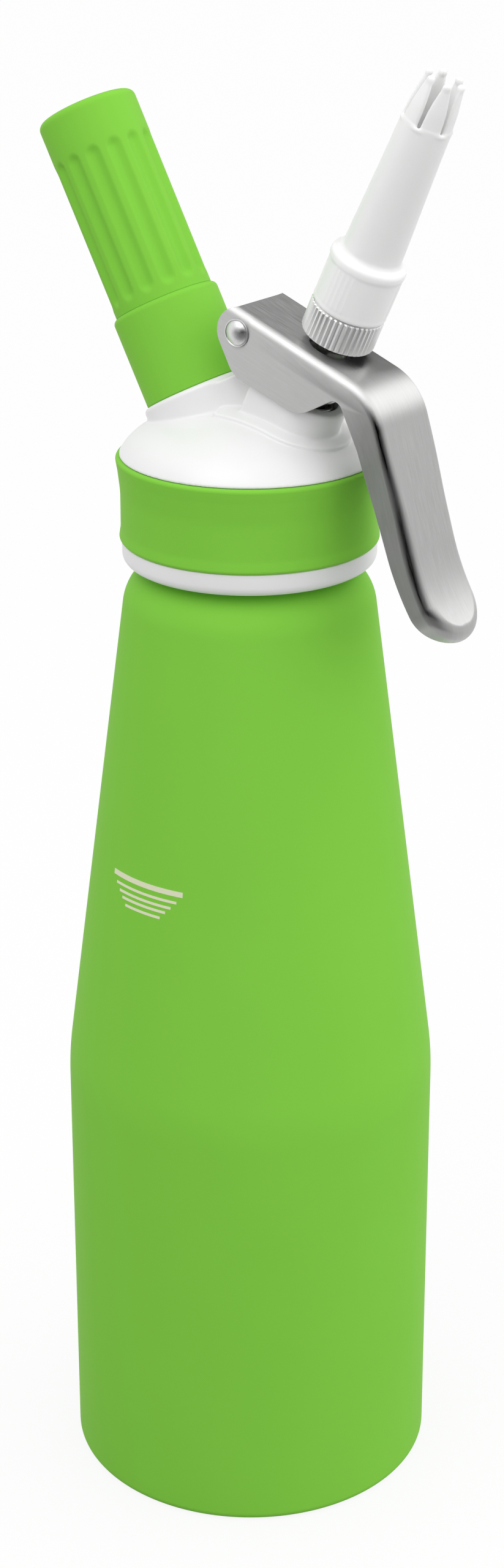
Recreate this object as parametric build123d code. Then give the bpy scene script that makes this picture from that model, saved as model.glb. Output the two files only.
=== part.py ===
"""Whipped cream dispenser, one litre size: bottle, head, valve, lever, tip and gas charger holder.

Millimetres.  The origin is the centre of the bottle's base, +Z runs up the bottle, the lever and the
nozzle lean to +X, the charger holder leans to -X, and Y = 0 is the plane of symmetry.
"""

from math import cos, radians, sin, sqrt
import os

from build123d import *

# ---- clearances -----------------------------------------------------------------------------------
RUNNING_GAP = 0.05        # radial, between a shaft and the hole it moves in
SEAL_GAP = 0.05           # between a soft seal and the face that moves off it
SEAT_GAP = 0.3            # between screwed pieces that come apart
RIM_GAP = 0.1             # between the bottle's rim and the gasket
SIDE_GAP = 0.2            # between the lever's sides and the head
OVERCUT = 1.0             # how far a cutter runs past the face it opens
TOUCHING = 0.01           # points nearer than this are one point

# ---- bottle ---------------------------------------------------------------------------------------
BOTTLE_RADIUS = 49.0
BOTTLE_WALL = 1.5
BOTTLE_BASE = 2.5         # thickness of the floor
BASE_CORNER = 2.5
STRAIGHT_HEIGHT = 119.8
CONE_HEIGHT = 125.7
CONE_BLEND = 90.0         # radius that softens the start of the cone
NECK_RADIUS = 27.5
NECK_LENGTH = 17.0
LEDGE_WIDTH = 1.1         # flat ledge round the neck, under the head's lip
SHOULDER_WIDTH = 3.8      # the shoulder's turn, from the cone to the ledge
SHOULDER_RISE = 12.5
SHOULDER_BULGE = 1.0      # how far the shoulder stands outside its own chord
FOOT_GROOVE_INSET = 13.0
FOOT_GROOVE_WIDTH = 2.0
FOOT_GROOVE_DEPTH = 0.6
SHOULDER_RADIUS = NECK_RADIUS + LEDGE_WIDTH
CONE_TOP_RADIUS = SHOULDER_RADIUS + SHOULDER_WIDTH
CONE_TOP_HEIGHT = STRAIGHT_HEIGHT + CONE_HEIGHT
SHOULDER_HEIGHT = CONE_TOP_HEIGHT + SHOULDER_RISE
NECK_TOP = SHOULDER_HEIGHT + NECK_LENGTH

# ---- head -----------------------------------------------------------------------------------------
HEAD_WALL = 3.1           # between the bottle's neck and the groove that the rubber collar sits in
LIP_PROUD = 1.6           # how far the lip stands out of that groove
LIP_HEIGHT = 5.9
LIP_ROUND = 2.2
COLLAR_HEIGHT = 21.6
COLLAR_LOW_THICKNESS = 2.3
COLLAR_WAIST_THICKNESS = 1.85
COLLAR_TOP_THICKNESS = 3.0
COLLAR_ROUND = 0.5
COLLAR_FLARE = 2.5        # height over which the lower edge flares
COLLAR_SWEEP = 6.0        # radius that softens the start of a flare
DOME_EDGE_INSET = 0.9     # from the collar's upper edge to the dome
DOME_SHOULDER_WIDTH = 5.7
DOME_KNEE_RISE = 6.0      # height of the knee above the collar
DOME_CROWN_RISE = 13.1    # height of the crown above the collar
DOME_SHOULDER_BULGE = (0.9, 1.0)  # how far the shoulder stands outside the chord from edge to knee
GASKET_THICKNESS = 2.0
GASKET_WIDTH = 2.2
COLLAR_SEAT_RADIUS = NECK_RADIUS + HEAD_WALL
LIP_RADIUS = COLLAR_SEAT_RADIUS + LIP_PROUD
LIP_BOTTOM = SHOULDER_HEIGHT + SEAT_GAP
COLLAR_BOTTOM = LIP_BOTTOM + LIP_HEIGHT
COLLAR_TOP = COLLAR_BOTTOM + COLLAR_HEIGHT
COLLAR_LOW_RADIUS = COLLAR_SEAT_RADIUS + COLLAR_LOW_THICKNESS
COLLAR_WAIST_RADIUS = COLLAR_SEAT_RADIUS + COLLAR_WAIST_THICKNESS
COLLAR_TOP_RADIUS = COLLAR_SEAT_RADIUS + COLLAR_TOP_THICKNESS
DOME_EDGE_RADIUS = COLLAR_TOP_RADIUS - DOME_EDGE_INSET
DOME_KNEE_RADIUS = DOME_EDGE_RADIUS - DOME_SHOULDER_WIDTH
CEILING = NECK_TOP + RIM_GAP + GASKET_THICKNESS

# ---- lever, from the centre of its pivot ------------------------------------------------------------
PIVOT_X = 4.4
PIVOT_RISE = 33.0         # above the collar
LEVER_HALF_WIDTH = 10.8
LEVER_THICKNESS = 1.2
PLATE_RISE = 5.27         # from the pivot to the plate's outer face
EAR_OVER_PLATE = 0.83     # the ears' rounding reaches this far past the height of the plate
PLATE_SLOPE = 21.4        # degrees below horizontal
HANDLE_SLOPE = 17.3       # degrees off vertical
PLATE_LENGTH = 41.7       # from above the pivot to the corner of plate and handle
HANDLE_LENGTH = 64.6
LEVER_BEND = 16.0
LEVER_EDGE_ROUND = 2.2
LEVER_TIP_ROUND = 9.0
TIP_SEARCH = 9.0          # the free end's edges lie this near its corner
FLANGE_DEPTH = 6.4        # side flange of the handle at its top
FLANGE_END_DEPTH = 4.3
FLANGE_ROUND = 1.5        # corners of the side's outline
NOTCH_ROUND = 2.5
BELLY_ROUND = 8.0
HEEL_ROUND = 6.0
SIDE_DROP = 10.6          # side plate below the pivot, next to the charger boss
HEEL_BACK = 1.4           # rear corner of the side plate
BELLY_REACH = 18.1        # lowest corner of the side plate
BELLY_DROP = 17.8
NOTCH_REACH = 29.8        # inner corner between the side plate and the handle's flange
NOTCH_DROP = 11.6
LEVER_END_RADIUS = PLATE_RISE + EAR_OVER_PLATE
PIVOT_Z = COLLAR_TOP + PIVOT_RISE

# ---- pivot of the lever -----------------------------------------------------------------------------
PIN_RADIUS = 2.0
PIN_HEAD_RADIUS = 3.5
PIN_HEAD_HEIGHT = 1.5
PIN_HEAD_RIM = 0.4
PIN_CROWN_RADIUS = 1.9
EAR_HALF_WIDTH = 6.0      # ear of the head, between the lever's sides
EAR_END_RADIUS = 3.7
EAR_FOOT_BACK = 3.6       # foot of the ear behind and before the pivot
EAR_FOOT_FRONT = 9.6
WASHER_RADIUS = 3.6       # round bosses that keep the lever in the middle of the head

# ---- nozzle axis: valve, adaptor and tip ------------------------------------------------------------
NOZZLE_TILT = 24.4
NOZZLE_X = 24.5
NOZZLE_RISE = 29.2        # of the axis' zero station above the collar
BLOCK_SIDE_GAP = 0.5      # between the valve block and the lever's sides
BLOCK_TOP = -12.7         # stations along the nozzle axis from here on
BLOCK_TAPER = 0.8
BLOCK_BACK = 12.5
BLOCK_DEPTH = 15.0
PAD_MARGIN = 3.4
PAD_RISE = 1.0
STEM_RADIUS = 4.0
STEM_WALL = 1.6
STEM_COVER = 1.0          # of the adaptor over the stem's end
FLANGE_WIDTH = 2.3
FLANGE_TOP = -0.45
FLANGE_THICKNESS = 2.0
PORT_RADIUS = 1.6
PORT_DROP = 1.9           # ports sit this far above the valve seat
SEAT = -42.95
SEAT_BOSS_WALL = 1.5
SEAT_RECESS = 8.0         # room below the seat for the valve seal and its nut
CHAMBER_GAP = 1.4         # round the stem at the ports
CHAMBER_LENGTH = 5.0
PASSAGE_GAP = 0.4         # round the stem between its O-ring and the chamber
SPRING_GAP = 0.1          # between the spring and each of its seats
SPRING_COIL_GAP = 0.75    # between the stem or the pocket's wall and the coils
SPRING_WIRE = 0.55
SPRING_TURNS = 6
SPRING_POCKET_DEPTH = 7.3
GUIDE_LENGTH = 4.0
RING_SECTION = 0.9        # radius of the O-ring's round section
SEAL_OVERLAP = 1.1        # of the valve seal past the edge of the chamber
VALVE_SEAL_THICKNESS = 1.5
NUT_WALL = 1.5
NUT_THICKNESS = 2.6
STEM_END = 0.5            # stem below the nut
FLANGE_OVERLAP = 0.4      # of the stem's flange under the lever, round its hole
NOZZLE_Z = COLLAR_TOP + NOZZLE_RISE
BLOCK_RADIUS = LEVER_HALF_WIDTH - LEVER_THICKNESS - BLOCK_SIDE_GAP
STEM_BORE = STEM_RADIUS - STEM_WALL
FLANGE_RADIUS = STEM_RADIUS + FLANGE_WIDTH
LEVER_HOLE_RADIUS = FLANGE_RADIUS - FLANGE_OVERLAP
CHAMBER_RADIUS = STEM_RADIUS + CHAMBER_GAP
VALVE_SEAL_RADIUS = CHAMBER_RADIUS + SEAL_OVERLAP
SEAT_BOSS_RADIUS = VALVE_SEAL_RADIUS + SEAT_BOSS_WALL
SPRING_RADIUS = STEM_RADIUS + SPRING_COIL_GAP + SPRING_WIRE
SPRING_POCKET_RADIUS = SPRING_RADIUS + SPRING_WIRE + SPRING_COIL_GAP

ADAPTOR_BOTTOM = 4.4
ADAPTOR_HEIGHT = 8.1
ADAPTOR_PROUD = 0.05      # of the ring past the tip's skirt
ADAPTOR_CHAMFER = 0.6
KNURL_COUNT = 44
KNURL_DEPTH = 0.45
SPIGOT_WALL = 3.6
SPIGOT_LENGTH = 11.3
TIP_SKIRT_WALL = 2.6
TIP_SKIRT_PAST = 2.9      # of the skirt past the spigot
TIP_BEAD_PROUD = 0.3
TIP_BEAD_HEIGHT = 2.6
TIP_BEAD_SLOPE = 0.8
TIP_SHOULDER_RISE = 1.2   # from the top of the skirt's bead to the foot of the cone
TIP_ROOF_GAP = 1.6        # the tip's throat starts this far above the spigot
TIP_THROAT_STEP = 1.2
TIP_CONE_OVER = 0.75      # foot of the cone outside the spigot
TIP_CONE_LENGTH = 36.5
TIP_NECK_RADIUS = 6.2
TIP_FINGER_LENGTH = 10.7
TIP_END_RADIUS = 4.7
TIP_WALL = 1.25
TIP_FINGERS = 6
TIP_FINGER_WAIST = 0.62   # how far the middle of a finger lies inside the neck
TIP_NOTCH_WIDTH = 0.8
TIP_NOTCH_ROUND = 0.35
TIP_NOTCH_MOUTH = 3.4
TIP_NOTCH_PHASE = 12.6    # degrees about the nozzle axis
TIP_RIB_GROUPS = 3
TIP_RIBS = 5              # in each group
TIP_RIB_PITCH = 6.4       # degrees
TIP_RIB_RADIUS = 0.4
TIP_RIB_PHASE = -86.0     # middle of the first group, degrees about the nozzle axis
ADAPTOR_TOP = ADAPTOR_BOTTOM + ADAPTOR_HEIGHT
STEM_TOP = ADAPTOR_TOP - STEM_COVER
SPIGOT_BORE = STEM_RADIUS - STEM_COVER
SPIGOT_RADIUS = SPIGOT_BORE + SPIGOT_WALL
SPIGOT_TOP = ADAPTOR_TOP + SPIGOT_LENGTH
TIP_BOTTOM = ADAPTOR_TOP + SIDE_GAP
TIP_SKIRT_TOP = SPIGOT_TOP + TIP_SKIRT_PAST
TIP_SKIRT_RADIUS = SPIGOT_RADIUS + TIP_SKIRT_WALL
TIP_BEAD_RADIUS = TIP_SKIRT_RADIUS + TIP_BEAD_PROUD
ADAPTOR_RADIUS = TIP_SKIRT_RADIUS + ADAPTOR_PROUD
TIP_CONE_RADIUS = SPIGOT_RADIUS + TIP_CONE_OVER
TIP_THROAT_RADIUS = SPIGOT_RADIUS - TIP_THROAT_STEP
TIP_NOTCH_STATION = TIP_SKIRT_TOP + TIP_CONE_LENGTH
TIP_END_STATION = TIP_NOTCH_STATION + TIP_FINGER_LENGTH

# ---- charger axis: boss, piercing unit, charger and holder ------------------------------------------
CHARGER_TILT = 28.2
CHARGER_X = -15.7
CHARGER_RISE = 14.2       # of the axis' zero station above the collar
CHARGER_RADIUS = 9.0
CHARGER_LENGTH = 65.5
CHARGER_WALL = 1.3
CHARGER_NECK_RADIUS = 4.4
CHARGER_NECK_LENGTH = 7.0
CHARGER_SHOULDER = 8.0
CHARGER_LIP_ROUND = 0.5
CHARGER_NECK_ROUND = 3.0
CHARGER_BODY_ROUND = 5.0
CHARGER_END_ROUND = 5.5
PIERCED_GAP = 0.3         # between the needle and the hole it makes
CHARGER_GAP = 0.25        # between the charger and the holder's bore
TUBE_WALL = 1.2
STUB_MARGIN = 1.4         # of the threaded stub round the charger
STUB_ROOT_INSET = 2.4
STUB_ROOT_DEPTH = 10.0
STUB_CUP_GAP = 0.4        # round the charger's neck
STUB_CUP_FLOOR = 3.0      # stations along the charger axis
STUB_SHOULDER_GAP = 0.4   # from the stub to the charger's shoulder
GAS_BORE = 1.2
PIN_BASE_THICKNESS = 1.5
NEEDLE_RADIUS = 0.9
NEEDLE_BORE = 0.35
NEEDLE_POINT = 1.4
NEEDLE_BITE = 2.0         # of the needle in the charger's neck
CHARGER_SEAL_THICKNESS = 2.0
CHARGER_SEAL_GAP = 0.6    # between the needle and the seal round it
CHECK_VALVE_RADIUS = 3.5
CHECK_VALVE_THICKNESS = 1.5
HOLDER_START = SEAT_GAP
THREAD_RELIEF = 0.6       # thread in the holder past the end of the stub
THREAD_RUN_OUT = 1.2
TUBE_MOUTH_WALL = 1.55
TUBE_END = 1.0
SKIRT_THICKNESS = 1.85
SKIRT_HEIGHT = 23.0
SKIRT_ROUND = 1.3
BOSS_MARGIN = 1.15        # of the head's boss past the holder's skirt
BOSS_ROUND = 1.2
BOSS_DEPTH = 16.0
GRIP_THICKNESS = 2.29
GRIP_END = 1.2
GRIP_ROUND = 1.7
FLUTE_COUNT = 14
FLUTE_CUTTER = 2.4
FLUTE_DEPTH = 0.75
FLUTE_MARGIN = 4.7        # from the skirt to the first flute's centre
FLUTE_END_MARGIN = 13.5   # from the flutes to the end of the grip
FLUTE_PHASE = -61.0       # degrees about the charger axis
CHARGER_Z = COLLAR_TOP + CHARGER_RISE
CHARGER_START = STUB_CUP_FLOOR + PIN_BASE_THICKNESS + CHARGER_SEAL_THICKNESS + SEAT_GAP
NEEDLE_TIP = CHARGER_START + NEEDLE_BITE
STUB_TOP = CHARGER_START + CHARGER_NECK_LENGTH - STUB_SHOULDER_GAP
STUB_RADIUS = CHARGER_RADIUS + STUB_MARGIN
STUB_ROOT_RADIUS = STUB_RADIUS - STUB_ROOT_INSET
STUB_CUP_RADIUS = CHARGER_NECK_RADIUS + STUB_CUP_GAP
TUBE_RADIUS = CHARGER_RADIUS + CHARGER_GAP + TUBE_WALL
TUBE_SKIRT_RADIUS = STUB_RADIUS + RUNNING_GAP + TUBE_MOUTH_WALL
SKIRT_RADIUS = TUBE_SKIRT_RADIUS + SKIRT_THICKNESS
SKIRT_TOP = HOLDER_START + SKIRT_HEIGHT
GRIP_RADIUS = TUBE_RADIUS + GRIP_THICKNESS
BOSS_RADIUS = SKIRT_RADIUS + BOSS_MARGIN

NOZZLE_FRAME = Location((NOZZLE_X, 0, NOZZLE_Z), (0, NOZZLE_TILT, 0))
CHARGER_FRAME = Location((CHARGER_X, 0, CHARGER_Z), (0, -CHARGER_TILT, 0))
BOTTOM = (Align.CENTER, Align.CENTER, Align.MIN)


# ---- helpers --------------------------------------------------------------------------------------
def outline(points, rounds=None):
    """Closed flat outline through the points, with corners rounded by point number."""
    face = make_face(Polyline(*points, close=True))
    for index, radius in (rounds or {}).items():
        corner = face.vertices().sort_by_distance(Vector(*points[index]))[0]
        face = fillet(corner, radius)
    return face


def turned(points, rounds=None):
    """Solid of revolution about Z from an outline of (radius, height) points."""
    return revolve(Plane.XZ * outline(points, rounds), Axis.Z)


def rod(radius, low, high):
    """Cylinder on Z between two heights."""
    return Pos(0, 0, low) * Cylinder(radius, high - low, align=BOTTOM)


def tube(outer, inner, low, high):
    """Ring on Z between two heights."""
    return rod(outer, low, high) - rod(inner, low, high)


def side_slab(face, half_width):
    """Slab whose XZ outline is given, centred on Y = 0."""
    return extrude(Plane.XZ * face, half_width, both=True)


def around(count, phase=0.0):
    """Evenly spaced turns about Z."""
    return [Rot(0, 0, phase + 360 * step / count) for step in range(count)]


# ---- bottle ---------------------------------------------------------------------------------------
def bottle_outline(inset, floor, top):
    """Half outline of the bottle, drawn inset from its outer face."""
    radius = BOTTLE_RADIUS - inset
    cone = CONE_TOP_RADIUS - inset
    shoulder = SHOULDER_RADIUS - inset
    neck = NECK_RADIUS - inset
    middle = ((cone + shoulder) / 2 + SHOULDER_BULGE, (CONE_TOP_HEIGHT + SHOULDER_HEIGHT) / 2)
    lower = Polyline((0, floor), (radius, floor), (radius, STRAIGHT_HEIGHT), (cone, CONE_TOP_HEIGHT))
    crest = ThreePointArc((cone, CONE_TOP_HEIGHT), middle, (shoulder, SHOULDER_HEIGHT))
    upper = Polyline((shoulder, SHOULDER_HEIGHT), (neck, SHOULDER_HEIGHT), (neck, top), (0, top), (0, floor))
    face = make_face([*lower.edges(), *crest.edges(), *upper.edges()])
    for point, size in (((radius, STRAIGHT_HEIGHT), CONE_BLEND), ((radius, floor), BASE_CORNER)):
        face = fillet(face.vertices().sort_by_distance(Vector(*point))[0], size)
    return face


def make_bottle():
    """Drawn aluminium bottle with a flat floor, a straight lower body, a cone and a short neck."""
    shell = revolve(Plane.XZ * bottle_outline(0, 0, NECK_TOP), Axis.Z)
    inside = revolve(Plane.XZ * bottle_outline(BOTTLE_WALL, BOTTLE_BASE, NECK_TOP + OVERCUT), Axis.Z)
    foot = BOTTLE_RADIUS - FOOT_GROOVE_INSET
    groove = tube(foot + FOOT_GROOVE_WIDTH, foot, -OVERCUT, FOOT_GROOVE_DEPTH)
    return shell - inside - groove


# ---- head -----------------------------------------------------------------------------------------
def make_dome():
    """Top of the head above its collar: a rounded shoulder that runs into a shallow sphere."""
    edge = (DOME_EDGE_RADIUS, COLLAR_TOP)
    knee = (DOME_KNEE_RADIUS, COLLAR_TOP + DOME_KNEE_RISE)
    crown = (0, COLLAR_TOP + DOME_CROWN_RISE)
    bulge_out, bulge_up = DOME_SHOULDER_BULGE
    turn = ((edge[0] + knee[0]) / 2 + bulge_out, (edge[1] + knee[1]) / 2 + bulge_up)
    span = DOME_CROWN_RISE - DOME_KNEE_RISE
    sphere = (DOME_KNEE_RADIUS**2 + span**2) / (2 * span)
    half = DOME_KNEE_RADIUS / 2
    middle = (half, crown[1] - sphere + sqrt(sphere**2 - half**2))
    rim = ThreePointArc(edge, turn, knee)
    cap = ThreePointArc(knee, middle, crown)
    rest = Polyline(crown, (0, COLLAR_TOP), edge)
    return revolve(Plane.XZ * make_face([*rim.edges(), *cap.edges(), *rest.edges()]), Axis.Z)


def block_plan(margin, back):
    """Plan of the valve block across the nozzle axis: a round front and a straight back."""
    radius = BLOCK_RADIUS + margin
    return Circle(radius) + Pos(-back / 2, 0) * Rectangle(back, 2 * radius)


def make_head_shell():
    """Moulded head: skirt, dome, valve block, charger boss and the ear that carries the lever."""
    bore = NECK_RADIUS + RUNNING_GAP
    skirt = turned(
        [(bore, LIP_BOTTOM), (LIP_RADIUS, LIP_BOTTOM), (LIP_RADIUS, COLLAR_BOTTOM),
         (COLLAR_SEAT_RADIUS, COLLAR_BOTTOM), (COLLAR_SEAT_RADIUS, COLLAR_TOP), (0, COLLAR_TOP),
         (0, CEILING), (bore, CEILING)],
        {1: LIP_ROUND},
    )
    dome = make_dome()
    block = NOZZLE_FRAME * Pos(0, 0, BLOCK_TOP) * extrude(
        block_plan(0, BLOCK_BACK), -BLOCK_DEPTH, taper=-BLOCK_TAPER
    )
    reach = NOZZLE_FRAME * Pos(0, 0, SEAT) * extrude(
        block_plan(PAD_MARGIN, BLOCK_BACK + BOSS_RADIUS), BLOCK_TOP - SEAT
    )
    pad = Pos(0, 0, PAD_RISE) * dome & reach
    boss = CHARGER_FRAME * fillet(
        rod(BOSS_RADIUS, -BOSS_DEPTH, 0).edges().sort_by(Axis.Z)[-1], BOSS_ROUND
    )
    ear_points = [
        (PIVOT_X - EAR_END_RADIUS, PIVOT_Z), (PIVOT_X - EAR_FOOT_BACK, COLLAR_TOP),
        (PIVOT_X + EAR_FOOT_FRONT, COLLAR_TOP), (PIVOT_X + EAR_END_RADIUS, PIVOT_Z),
    ]
    ear = side_slab(outline(ear_points) + Pos(PIVOT_X, PIVOT_Z) * Circle(EAR_END_RADIUS), EAR_HALF_WIDTH)
    washer_face = LEVER_HALF_WIDTH - LEVER_THICKNESS - SIDE_GAP
    washers = side_slab(Pos(PIVOT_X, PIVOT_Z) * Circle(WASHER_RADIUS), washer_face)
    seat_boss = NOZZLE_FRAME * rod(SEAT_BOSS_RADIUS, SEAT, SEAT + 2 * CHAMBER_LENGTH)
    head = skirt + dome + block + pad + boss + ear + washers + seat_boss

    ring_top = BLOCK_TOP - SPRING_POCKET_DEPTH - GUIDE_LENGTH
    ring_floor = ring_top - 2 * RING_SECTION
    ring_pocket = STEM_RADIUS + RUNNING_GAP + 2 * RING_SECTION
    valve_bores = NOZZLE_FRAME * (
        rod(SPRING_POCKET_RADIUS, ring_top, STEM_TOP)
        + rod(ring_pocket, ring_floor, ring_top)
        + rod(STEM_RADIUS + PASSAGE_GAP, SEAT, ring_floor)
        + rod(CHAMBER_RADIUS, SEAT - OVERCUT, SEAT + CHAMBER_LENGTH)
        + rod(SEAT_BOSS_RADIUS + SEAT_GAP, SEAT - SEAT_RECESS, SEAT)
    )
    gas_bores = CHARGER_FRAME * (
        rod(STUB_ROOT_RADIUS, -STUB_ROOT_DEPTH, OVERCUT)
        + rod(CHECK_VALVE_RADIUS, -STUB_ROOT_DEPTH - CHECK_VALVE_THICKNESS, -STUB_ROOT_DEPTH)
        + rod(GAS_BORE, -BOSS_DEPTH - BOSS_RADIUS, -STUB_ROOT_DEPTH)
    )
    pivot = side_slab(Pos(PIVOT_X, PIVOT_Z) * Circle(PIN_RADIUS), LEVER_HALF_WIDTH)
    return head - valve_bores - gas_bores - pivot


def make_head_collar():
    """Soft rubber collar in the groove of the head, flared at both edges."""
    waist = (COLLAR_BOTTOM + COLLAR_TOP) / 2
    return turned(
        [(COLLAR_SEAT_RADIUS, COLLAR_BOTTOM), (COLLAR_LOW_RADIUS, COLLAR_BOTTOM),
         (COLLAR_WAIST_RADIUS, COLLAR_BOTTOM + COLLAR_FLARE), (COLLAR_WAIST_RADIUS, waist + COLLAR_FLARE),
         (COLLAR_TOP_RADIUS, COLLAR_TOP), (COLLAR_SEAT_RADIUS, COLLAR_TOP)],
        {1: COLLAR_ROUND, 2: COLLAR_SWEEP, 3: 3 * COLLAR_SWEEP, 4: COLLAR_ROUND},
    )


def make_head_gasket():
    """Flat ring that the bottle's rim presses on."""
    outer = NECK_RADIUS
    return tube(outer, outer - GASKET_WIDTH, NECK_TOP + RIM_GAP, CEILING)


# ---- lever ----------------------------------------------------------------------------------------
def lever_path(inset):
    """Corner points of the plate and handle, set in from their outer face."""
    plate_normal = Vector(sin(radians(PLATE_SLOPE)), cos(radians(PLATE_SLOPE)))
    plate_way = Vector(cos(radians(PLATE_SLOPE)), -sin(radians(PLATE_SLOPE)))
    handle_normal = Vector(cos(radians(HANDLE_SLOPE)), sin(radians(HANDLE_SLOPE)))
    handle_way = Vector(sin(radians(HANDLE_SLOPE)), -cos(radians(HANDLE_SLOPE)))
    rear = sqrt(LEVER_END_RADIUS**2 - PLATE_RISE**2)
    start = Vector(PIVOT_X, PIVOT_Z) + plate_normal * (PLATE_RISE - inset) - plate_way * rear
    corner = Vector(PIVOT_X, PIVOT_Z) + plate_normal * PLATE_RISE + plate_way * PLATE_LENGTH
    end = corner + handle_way * HANDLE_LENGTH - handle_normal * inset
    mitre = (plate_normal + handle_normal) * (inset / (1 + plate_normal.dot(handle_normal)))
    return start, corner - mitre, end, plate_way, handle_normal, handle_way


def lever_side():
    """Side outline of the stamped channel."""
    start, corner, end, plate_way, handle_normal, handle_way = lever_path(0)
    flange_foot = corner + handle_way * (LEVER_BEND * 0.75) - handle_normal * FLANGE_DEPTH
    flange_end = end - handle_normal * FLANGE_END_DEPTH
    pivot = Vector(PIVOT_X, PIVOT_Z)
    notch = pivot + Vector(NOTCH_REACH, -NOTCH_DROP)
    belly = pivot + Vector(BELLY_REACH, -BELLY_DROP)
    heel = pivot - Vector(HEEL_BACK, SIDE_DROP)
    points = [start, corner, end, flange_end, flange_foot, notch, belly, heel,
              pivot - Vector(LEVER_END_RADIUS, 0)]
    rounds = {1: LEVER_BEND, 4: FLANGE_ROUND, 5: NOTCH_ROUND, 6: BELLY_ROUND, 7: HEEL_ROUND}
    sides = outline([tuple(point)[:2] for point in points], rounds)
    ears = Pos(PIVOT_X, PIVOT_Z) * Circle(LEVER_END_RADIUS)
    below = Rot(0, 0, -PLATE_SLOPE) * Rectangle(2 * PLATE_LENGTH, 2 * PLATE_LENGTH)
    drop = plate_way.rotate(Axis.Z, -90) * PLATE_LENGTH
    return sides + (ears & Pos(*tuple(start + drop)[:2]) * below)


def lever_hollow():
    """Side outline of the space inside the channel, open downwards."""
    start, corner, end, plate_way, handle_normal, handle_way = lever_path(LEVER_THICKNESS)
    stop = end - handle_way * LEVER_THICKNESS
    far = LEVER_END_RADIUS * 2
    points = [start - plate_way * far, corner, stop, stop - handle_normal * far,
              (PIVOT_X + BELLY_REACH, PIVOT_Z - BELLY_DROP - far), (PIVOT_X - far, PIVOT_Z - SIDE_DROP - far)]
    return outline([tuple(point)[:2] for point in points], {1: LEVER_BEND - LEVER_THICKNESS})


def round_tip(solid, half_width, radius):
    """Round the two corners at the free end of the handle in plan."""
    end = lever_path(0)[2]
    handle_normal = lever_path(0)[4]
    tips = []
    for edge in solid.edges():
        middle = edge.center()
        way = (edge @ 1) - (edge @ 0)
        near = (Vector(middle.X, middle.Z) - end).length < TIP_SEARCH
        outer = abs(abs(middle.Y) - half_width) < TOUCHING and abs(way.Y) < TOUCHING
        if near and outer and abs(Vector(way.X, way.Z).normalized().dot(handle_normal)) > 0.99:
            tips.append(edge)
    return fillet(tips, radius)


def make_lever():
    """Stamped stainless channel: top plate, bent handle, side flanges and two pivot ears."""
    blank = round_tip(side_slab(lever_side(), LEVER_HALF_WIDTH), LEVER_HALF_WIDTH, LEVER_TIP_ROUND)
    up = Vector(1, 0, 1).normalized()
    crest = [face for face in blank.faces() if face.normal_at().dot(up) > 0.6]
    rims = [edge for face in crest for edge in face.edges()]
    rims = [
        edge for edge in rims
        if sum(1 for other in rims if (other.center() - edge.center()).length < TOUCHING) == 1
        and not (abs(edge.center().Y) < TOUCHING and edge.center().X < PIVOT_X + BELLY_REACH)
    ]
    blank = fillet(rims, LEVER_EDGE_ROUND)
    inner = LEVER_HALF_WIDTH - LEVER_THICKNESS
    hollow = round_tip(side_slab(lever_hollow(), inner), inner, LEVER_TIP_ROUND - LEVER_THICKNESS)
    pivot = side_slab(Pos(PIVOT_X, PIVOT_Z) * Circle(PIN_RADIUS + RUNNING_GAP), 2 * LEVER_HALF_WIDTH)
    stem_hole = NOZZLE_FRAME * rod(LEVER_HOLE_RADIUS, -6, 6)
    return blank - hollow - pivot - stem_hole


def make_lever_pin():
    """Rivet through the ear and the lever's sides, with a domed head at each end."""
    face = LEVER_HALF_WIDTH + RUNNING_GAP
    shank = rod(PIN_RADIUS, -face, face)
    top = face + PIN_HEAD_HEIGHT
    head = turned(
        [(0, face), (PIN_HEAD_RADIUS, face), (PIN_HEAD_RADIUS, face + PIN_HEAD_RIM), (PIN_CROWN_RADIUS, top),
         (0, top)],
        {3: PIN_CROWN_RADIUS},
    )
    pin = shank + head + Rot(180, 0, 0) * head
    return Pos(PIVOT_X, 0, PIVOT_Z) * Rot(90, 0, 0) * pin


# ---- valve ----------------------------------------------------------------------------------------
def make_valve_stem():
    """Hollow stem with the flange that the lever presses and two ports above the seat."""
    bottom = SEAT - SEAL_GAP - VALVE_SEAL_THICKNESS - NUT_THICKNESS - STEM_END
    stem = rod(STEM_RADIUS, bottom, STEM_TOP)
    stem += rod(FLANGE_RADIUS, FLANGE_TOP - FLANGE_THICKNESS, FLANGE_TOP)
    bore = rod(STEM_BORE, SEAT, STEM_TOP + OVERCUT)
    port = Pos(0, 0, SEAT + PORT_DROP) * Rot(0, 90, 0) * Cylinder(PORT_RADIUS, 3 * STEM_RADIUS)
    return NOZZLE_FRAME * (stem - bore - port)


def make_valve_seal():
    """Flat rubber washer that closes the seat from below."""
    top = SEAT - SEAL_GAP
    return NOZZLE_FRAME * tube(VALVE_SEAL_RADIUS, STEM_RADIUS, top - VALVE_SEAL_THICKNESS, top)


def make_seal_nut():
    """Hexagon nut that clamps the valve seal on the stem."""
    top = SEAT - SEAL_GAP - VALVE_SEAL_THICKNESS
    plan = RegularPolygon(STEM_RADIUS + NUT_WALL, 6, major_radius=False) - Circle(STEM_RADIUS)
    return NOZZLE_FRAME * Pos(0, 0, top - NUT_THICKNESS) * extrude(plan, NUT_THICKNESS)


def make_stem_o_ring():
    """O-ring that seals the stem below its guide."""
    station = BLOCK_TOP - SPRING_POCKET_DEPTH - GUIDE_LENGTH - RING_SECTION
    radius = STEM_RADIUS + RUNNING_GAP + RING_SECTION
    return NOZZLE_FRAME * Pos(0, 0, station) * Torus(radius, RING_SECTION)


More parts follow.
